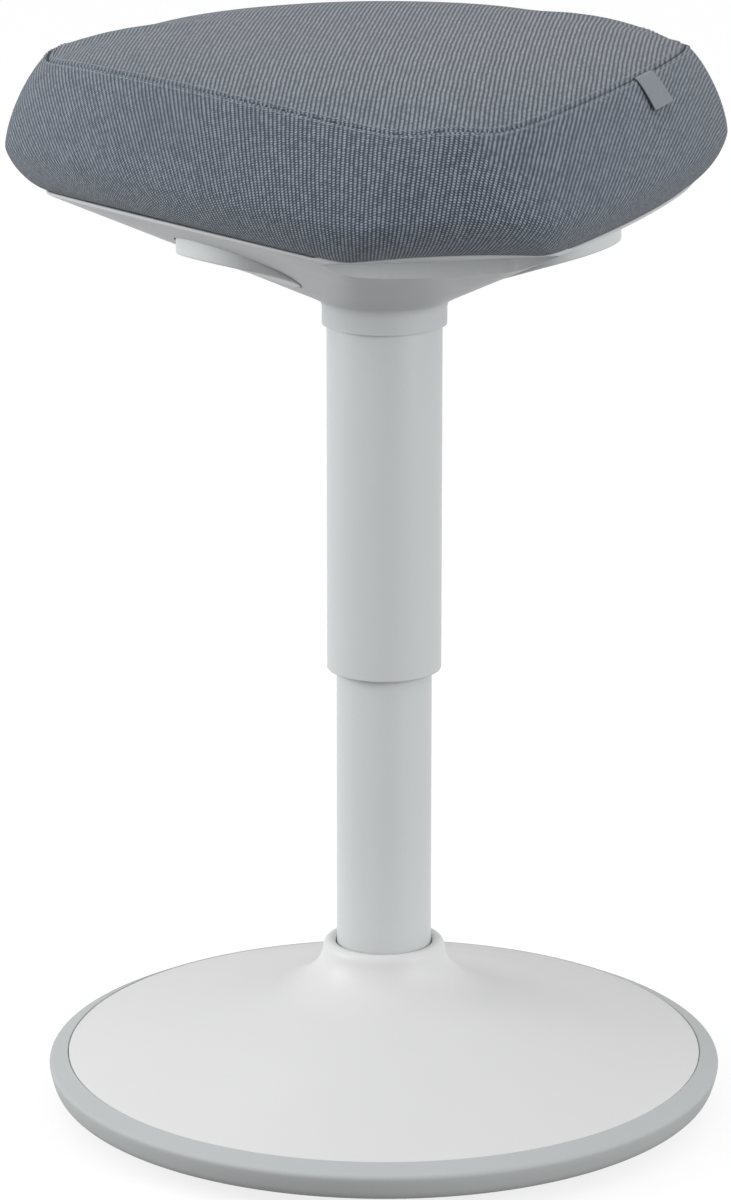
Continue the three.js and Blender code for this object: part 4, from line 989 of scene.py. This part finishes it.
# The cover follows the swollen padding in part, less and less towards the seam
COVER_LIFT = 2.2 * MM
COVER_SHARE = 0.45
COVER_REACH = 12 * MM
SEAM_HOLD = 20 * MM
SMOOTH_ROUNDS = 24
# Every point's pucker differs from its neighbour's by the golden angle
PUCKER = 0.12 * MM
PUCKER_TURN = 2.39996
STITCH_RADIUS = 0.22 * MM
# A stitch's rows: share of its pitch, lift in millimetres, share of its radius
STITCH_ROWS = ((0.0, -0.25, 0.5), (0.1, 0.2, 0.85), (0.4, 0.38, 1.0), (0.72, 0.2, 0.85), (0.82, -0.25, 0.5))
# The dark thread along the bottom of the seam is painted shade for the seam's groove
SEAM_SHADE_LIFT = 0.35 * MM
SEAM_SHADE_RADIUS = 0.5 * MM


def surface_of(data):
    """A mesh's surface, to look up the nearest place on it."""
    points = [vert.co.copy() for vert in data.vertices]
    return BVHTree.FromPolygons(points, [tuple(face.vertices) for face in data.polygons])


def cloth_pad(size):
    """The padding swollen by a cloth simulation, as a mesh to lay the cover on."""
    rings = inset(side_rings(size, 10)[1:-1], PAD_DEPTH)
    for share in (0.96, 0.85, 0.7, 0.5, 0.3, 0.12):
        rings.append(moved(crown_ring(size, share), -PAD_DEPTH * 0.3, -PAD_DEPTH))
    pad = loft("cushion_core", ring_loops(rings, 120))
    modify(pad, "REMESH", mode="VOXEL", voxel_size=6 * MM)
    rest = [vert.co.copy() for vert in pad.data.vertices]
    held = pad.vertex_groups.new(name="held")
    held.add([i for i, co in enumerate(rest) if co.z < RIM_Z + PAD_HELD], 1.0, "REPLACE")
    cloth = pad.modifiers.new("swell", "CLOTH").settings
    for key, value in PAD_CLOTH.items():
        setattr(cloth, key, value)
    cloth.effector_weights.gravity = 0.0
    scene = bpy.context.scene
    for step in range(SWELL_FRAMES):
        scene.frame_set(step + 1)
    apply_modifiers(pad)
    scene.frame_set(1)
    for vert, start in zip(pad.data.vertices, rest):
        move = vert.co - start
        if move.length > size.swell:
            vert.co = start + move.normalized() * size.swell
    return pad


def laid_on(loops, surface):
    """Cover rows, the seam first, moved part of the way to the swollen padding; the seam holds them back."""
    count = len(loops[0])
    moves = []
    reach = [0.0] * count
    for k, loop in enumerate(loops):
        row = []
        for i, point in enumerate(loop):
            if k:
                reach[i] += (point - loops[k - 1][i]).length
            spot, normal, _, distance = surface.find_nearest(point)
            share = COVER_SHARE * min(1.0, reach[i] / SEAM_HOLD) if distance < COVER_REACH else 0.0
            row.append((spot + normal * COVER_LIFT - point) * share)
        moves.append(row)
    for _ in range(SMOOTH_ROUNDS):
        for k in range(1, len(moves)):
            row = moves[k]
            above = moves[k - 1]
            below = moves[min(k + 1, len(moves) - 1)]
            moves[k] = [row[i] * 0.4 + (row[i - 1] + row[(i + 1) % count] + above[i] + below[i]) * 0.15
                        for i in range(count)]
    return [[point + move for point, move in zip(loop, row)] for loop, row in zip(loops, moves)]


def seam_out(point):
    """The cover's outward direction at the seam, up and a little outwards."""
    return Vector((point.x, point.y, 0)).normalized() * 0.35 + Vector((0, 0, 0.93))


def seam_pull(loops, depth):
    """Draws the first row, the seam, and a little of the next one in, with small puckers."""
    for row, share in zip(loops, (1.0, 0.12)):
        for i, point in enumerate(row):
            row[i] = point - seam_out(point) * (depth * share + PUCKER * math.sin(i * PUCKER_TURN) * share)


def flat_cut(place, gather=1.0):
    """Where a place of the laid-out cover lies across and along the ribs, which run a little turned."""
    x, y = place
    cosine = math.cos(WEAVE_TURN)
    sine = math.sin(WEAVE_TURN)
    return (x * cosine - y * sine) * gather, x * sine + y * cosine


def laid_out(size, loops):
    """The side band's rows folded out flat from the seam, so that the top's ribs run on over it."""
    seam = even_points(seam_path(size), COVER_STEPS)
    chart = []
    for k in range(len(loops)):
        for i, turn in enumerate(turns(COVER_STEPS)):
            down = sum((loops[row + 1][i] - loops[row][i]).length for row in range(k, len(loops) - 1))
            place = seam[i].xy + Vector((math.sin(turn), -math.cos(turn))) * down
            chart.append(flat_cut(place, BAND_GATHER))
    return chart


def sheet_mesh(name, loops, chart, thick, around=True):
    """A sheet of cloth from its rows, with a chart of where each point lies on the flat cloth."""
    points, rows = numbered(loops)
    data = bpy.data.meshes.new(name)
    data.from_pydata([tuple(point) for point in points], [], row_faces(rows, around))
    layer = data.uv_layers.new(name="cloth_map")
    for face in data.polygons:
        for corner, vertex in zip(face.loop_indices, face.vertices):
            layer.data[corner].uv = chart[vertex]
    sheet = link_piece(name, data)
    modify(sheet, "SOLIDIFY", thickness=thick, offset=-1)
    sheet.data.shade_smooth()
    return sheet


def thread_ring(centre, side, up, radius):
    return [centre + side * radius * math.cos(turn) + up * radius * math.sin(turn) for turn in turns(6)]


def stitch_row(name, path, ups, pitch):
    """A row of short threads that dip at both ends along a closed path."""
    count = len(path)
    lengths = [0.0]
    for i in range(count):
        lengths.append(lengths[-1] + (path[(i + 1) % count] - path[i]).length)
    total = lengths[-1]
    stitches = int(total / pitch)
    points = []
    faces = []
    for k in range(stitches):
        loops = []
        for along, lift, thick in STITCH_ROWS:
            distance = (k + along) * total / stitches
            i = sum(1 for length in lengths if length <= distance) - 1
            j = (i + 1) % count
            share = (distance - lengths[i]) / (lengths[i + 1] - lengths[i])
            up = ups[i].lerp(ups[j], share).normalized()
            side = (path[j] - path[i]).cross(up).normalized()
            centre = path[i].lerp(path[j], share) + up * lift * MM
            loops.append(thread_ring(centre, side, up, STITCH_RADIUS * thick))
        spots, rows = numbered(loops)
        new = row_faces(rows) + [tuple(rows[0]), tuple(rows[-1])]
        faces += [tuple(len(points) + i for i in face) for face in new]
        points += spots
    return mesh_piece(name, points, faces, math.radians(60))


def beside_seam(loops, distance):
    """Points on the cover at a distance from its first row, the seam, and their outward directions."""
    spots = []
    ups = []
    for i in range(COVER_STEPS):
        left = distance
        row = 0
        reach = (loops[1][i] - loops[0][i]).length
        while left > reach:
            left -= reach
            row += 1
            reach = (loops[row + 1][i] - loops[row][i]).length
        spots.append(loops[row][i].lerp(loops[row + 1][i], left / reach))
        along = loops[row][(i + 1) % COVER_STEPS] - loops[row][i - 1]
        ups.append(along.cross(loops[row + 1][i] - loops[row][i]).normalized())
    if ups[0].dot(Vector((0, -1, 0.5))) < 0:
        ups = [-up for up in ups]
    return spots, ups


def closed_thread(name, path, radius):
    """A thin round thread along a closed path."""
    loops = []
    for i, spot in enumerate(path):
        ahead = (path[(i + 1) % len(path)] - path[i - 1]).normalized()
        side = ahead.cross(Vector((0, 0, 1))).normalized()
        loops.append(thread_ring(spot, side, side.cross(ahead), radius))
    return loft(name, loops, joined=True, sharp_angle=math.radians(60))


def make_cushion():
    size = bpy.context.scene.stool_cushion
    fabric = bpy.context.scene.stool_fabric
    pad = cloth_pad(size)
    surface = surface_of(pad.data)
    side, top = ([even_points(path, COVER_STEPS) for path in rings] for rings in (
        side_rings(size, SIDE_ROWS)[::-1], [crown_ring(size, share) for share in CROWN_SHARES]))
    side = laid_on(side, surface)
    top = laid_on(top, surface)
    stitches = {"topstitch_band": beside_seam(side, size.stitch_below),
                "topstitch_top": beside_seam(top, size.stitch_above)}
    for loops in (side, top):
        seam_pull(loops, size.seam_sink)
    side = side[::-1]
    band = sheet_mesh("cover_band_cloth", side, laid_out(size, side), COVER_THICK)
    finish_piece(band, "seat", "cover_fabric", "cover_side_band")
    whole = top + [[sum(top[-1], Vector()) / COVER_STEPS]]
    chart = [flat_cut(point.xy) for loop in whole for point in loop]
    panel = sheet_mesh("cover_top_cloth", whole, chart, COVER_THICK)
    finish_piece(panel, "seat", "cover_fabric", "cover_top_panel")
    modify(pad, "SUBSURF", levels=1, render_levels=1)
    # The core is drawn in, so that it stays under the cover
    for vert in pad.data.vertices:
        spot = vert.co
        vert.co = Vector((spot.x * 0.97, spot.y * 0.97, BOARD_LOW.z + (spot.z - BOARD_LOW.z) * 0.9))
    pad.data.shade_smooth()
    finish_piece(pad, "seat", "foam", "foam_pad")
    # A thread along the bottom of the seam, coloured darker than the cloth's own yarns as painted shade in
    # the seam's groove
    path = [point + seam_out(point) * SEAM_SHADE_LIFT for point in top[0]]
    dark = closed_thread("seam_shade_thread", path, SEAM_SHADE_RADIUS)
    finish_piece(dark, "seat", "cover_fabric", material=finish("seam_shade_thread", twisted, fabric.seam_shade_thread))
    for name, (spots, ups) in stitches.items():
        row = stitch_row(name, spots, ups, size.stitch_pitch)
        finish_piece(row, "seat", "cover_fabric", material=finish("thread", twisted, fabric.thread))


# The bare tab in the seam, sizes in metres

LABEL_WIDTH = 22 * MM
LABEL_LENGTH = 24 * MM
LABEL_THICK = 0.5 * MM
LABEL_TURN = math.radians(56)
LABEL_ROWS = 15
LABEL_COLUMNS = 15


def make_label():
    """The tab starts in the seam and hangs down over the side band, a little off it at its end."""
    size = bpy.context.scene.stool_cushion
    cover = surface_of(bpy.data.objects["cover_band_cloth"].data)
    rings = inset(side_rings(size, 60)[::-1], 6 * MM)
    lobes = LOBES * LABEL_TURN
    bend = (size.seam_mean - LOBE_BEND * size.seam_lobe * math.cos(lobes)
            - FLAT_BEND * size.seam_flat * math.cos(2 * lobes))
    half = LABEL_WIDTH / 2 / bend
    loops = []
    length = 0.0
    wanted = 0.0
    for before, here in zip(rings, rings[1:]):
        if length >= wanted and wanted <= LABEL_LENGTH:
            lift = (0.55 + 1.5 * (length / LABEL_LENGTH) ** 1.6) * MM
            loop = []
            for k in range(LABEL_COLUMNS):
                turn = LABEL_TURN - half + 2 * half * k / (LABEL_COLUMNS - 1)
                spot, normal = cover.find_nearest(point_on(before, turn))[:2]
                outward = normal if normal.dot(spot) > 0 else -normal
                loop.append(spot + outward * lift)
            loops.append(loop)
            wanted += LABEL_LENGTH / (LABEL_ROWS - 1)
        length += (point_on(here, LABEL_TURN) - point_on(before, LABEL_TURN)).length
    chart = [(k % LABEL_COLUMNS * 1.6 * MM, k // LABEL_COLUMNS * 1.7 * MM)
             for k in range(len(loops) * LABEL_COLUMNS)]
    tab = sheet_mesh("label_tape_tab", loops, chart, LABEL_THICK, around=False)
    tab.data.set_sharp_from_angle(angle=math.radians(40))
    finish_piece(tab, "seat", "label_tape", "side_label")


# Stage

FLOOR_HALF = 6
FLOOR_GREY = 0.24
# Added where the camera or a gloss sees the floor, so that it shows white and keeps its shadow
FLOOR_GLOW = 0.81
LIGHT_AIM = (0, 0, 0.35)
KEY_PLACE = (-2.6, 0.2, 1.2)
KEY_WIDTH = 1.5
FILL_PLACE = (1.75, -1.75, 1.05)
FILL_WIDTH = 1.2


def either(tree, factor, first, second, out):
    """Shows the first shader where the factor is 0 and the second where it is 1."""
    mixed = chain(tree, "ShaderNodeMixShader", (factor, first.outputs[0], second.outputs[0]))
    plug(tree, mixed, out.inputs["Surface"])


def make_floor():
    corners = [(x * FLOOR_HALF, y * FLOOR_HALF, 0) for x, y in ((-1, -1), (1, -1), (1, 1), (-1, 1))]
    floor = mesh_piece("floor", corners, [(0, 1, 2, 3)])
    material, tree, shader = blank_material("pale_floor")
    path = add(tree, "ShaderNodeLightPath").outputs
    seen = maths(tree, "MAXIMUM", path["Is Camera Ray"], path["Is Glossy Ray"])
    plug_all(tree, shader, {
        "Base Color": (FLOOR_GREY, FLOOR_GREY, FLOOR_GREY), "Roughness": 0.9, "Specular IOR Level": 0.1,
        "Emission Color": (1.0, 1.0, 1.0), "Emission Strength": maths(tree, "MULTIPLY", seen, FLOOR_GLOW)})
    # Seen from below the floor lets the view through to the sole
    below = add(tree, "ShaderNodeNewGeometry").outputs["Backfacing"]
    out = next(node for node in tree.nodes if node.type == "OUTPUT_MATERIAL")
    either(tree, below, shader, add(tree, "ShaderNodeBsdfTransparent"), out)
    floor.data.materials.append(material)


def make_world(strength):
    """Even light from all round, and a white background behind the floor's edge."""
    world = bpy.data.worlds.new("studio")
    world.use_nodes = True
    tree = world.node_tree
    tree.nodes.clear()
    even = add(tree, "ShaderNodeBackground")
    plug(tree, strength, even.inputs["Strength"])
    white = add(tree, "ShaderNodeBackground")
    plug_all(tree, white, {"Color": (1.0, 1.0, 1.0), "Strength": 1.0})
    seen = add(tree, "ShaderNodeLightPath").outputs["Is Camera Ray"]
    either(tree, seen, even, white, add(tree, "ShaderNodeOutputWorld"))
    bpy.context.scene.world = world


def soft_light(name, place, power, width):
    data = bpy.data.lights.new(name, "AREA")
    data.energy = power
    data.shape = "DISK"
    data.size = width
    light = link_piece(name, data)
    light.location = place
    light.rotation_euler = (Vector(LIGHT_AIM) - Vector(place)).to_track_quat("-Z", "Y").to_euler()


def make_camera(stage):
    data = bpy.data.cameras.new("photo_camera")
    data.lens = stage.focal
    data.sensor_width = 36.0
    data.clip_end = 50.0
    view = link_piece("photo_camera", data)
    sine = math.sin(stage.azimuth)
    cosine = math.cos(stage.azimuth)
    right = Vector((cosine, -sine, 0))
    place = Vector((-stage.distance * sine, -stage.distance * cosine, stage.height))
    view.location = place - right * stage.sideways
    view.rotation_euler = (math.pi / 2 - stage.pitch, 0, -stage.azimuth)
    bpy.context.scene.camera = view


def make_stage():
    stage = bpy.context.scene.stool_stage
    bpy.context.scene.view_settings.view_transform = "Standard"
    make_floor()
    make_world(stage.world)
    soft_light("key_light", KEY_PLACE, stage.key, KEY_WIDTH)
    soft_light("fill_light", FILL_PLACE, stage.fill, FILL_WIDTH)
    make_camera(stage)


# Steps, panel and start

class STOOL_OT_foot(bpy.types.Operator):
    """Make the foot's dish and rim ring"""
    bl_idname = "stool.foot"
    bl_label = "Foot"

    def execute(self, context):
        make_foot()
        return {"FINISHED"}


class STOOL_OT_column(bpy.types.Operator):
    """Make the column's tube and sleeve"""
    bl_idname = "stool.column"
    bl_label = "Column"

    def execute(self, context):
        make_column()
        return {"FINISHED"}


class STOOL_OT_hardware(bpy.types.Operator):
    """Give the carried-over inner pieces their finishes"""
    bl_idname = "stool.hardware"
    bl_label = "Inner hardware"

    def execute(self, context):
        make_hardware()
        return {"FINISHED"}


class STOOL_OT_shell(bpy.types.Operator):
    """Make the moulded shell under the cushion"""
    bl_idname = "stool.shell"
    bl_label = "Seat shell"

    def execute(self, context):
        make_shell()
        return {"FINISHED"}


class STOOL_OT_paddles(bpy.types.Operator):
    """Make the two release paddles"""
    bl_idname = "stool.paddles"
    bl_label = "Paddles"

    def execute(self, context):
        make_paddles()
        return {"FINISHED"}


class STOOL_OT_cushion(bpy.types.Operator):
    """Make the padded cushion, its sewn cover and its topstitching"""
    bl_idname = "stool.cushion"
    bl_label = "Cushion"

    def execute(self, context):
        make_cushion()
        return {"FINISHED"}


class STOOL_OT_label(bpy.types.Operator):
    """Make the bare tape tab in the seam"""
    bl_idname = "stool.label"
    bl_label = "Label tab"

    def execute(self, context):
        make_label()
        return {"FINISHED"}


class STOOL_OT_stage(bpy.types.Operator):
    """Set up the floor, the studio light and the camera"""
    bl_idname = "stool.stage"
    bl_label = "Stage"

    def execute(self, context):
        make_stage()
        return {"FINISHED"}


OPERATORS = (STOOL_OT_hardware, STOOL_OT_foot, STOOL_OT_column, STOOL_OT_shell, STOOL_OT_paddles,
             STOOL_OT_cushion, STOOL_OT_label, STOOL_OT_stage)
SETTINGS = {"stool_cushion": StoolCushion, "stool_fabric": StoolFabric, "stool_body": StoolBody,
            "stool_stage": StoolStage}


class VIEW3D_PT_stool(bpy.types.Panel):
    """Lists the steps that make the stool"""
    bl_label = "Wobble stool"
    bl_idname = "VIEW3D_PT_stool"
    bl_space_type = "VIEW_3D"
    bl_region_type = "UI"
    bl_category = "Stool"

    def draw(self, context):
        for operator in OPERATORS:
            self.layout.operator(operator.bl_idname)
        for name in SETTINGS:
            box = self.layout.box()
            settings = getattr(context.scene, name)
            for key in settings.__annotations__:
                box.prop(settings, key)


def register():
    for kind in (*SETTINGS.values(), *OPERATORS, VIEW3D_PT_stool):
        bpy.utils.register_class(kind)
    for name, settings in SETTINGS.items():
        setattr(bpy.types.Scene, name, bpy.props.PointerProperty(type=settings))


def unregister():
    for name in SETTINGS:
        delattr(bpy.types.Scene, name)
    for kind in (VIEW3D_PT_stool, *reversed(OPERATORS), *SETTINGS.values()):
        bpy.utils.unregister_class(kind)


def main():
    register()
    bpy.ops.stool.hardware()
    bpy.ops.stool.foot()
    bpy.ops.stool.column()
    bpy.ops.stool.shell()
    bpy.ops.stool.paddles()
    bpy.ops.stool.cushion()
    bpy.ops.stool.label()
    bpy.ops.stool.stage()


if __name__ == "__main__":
    main()
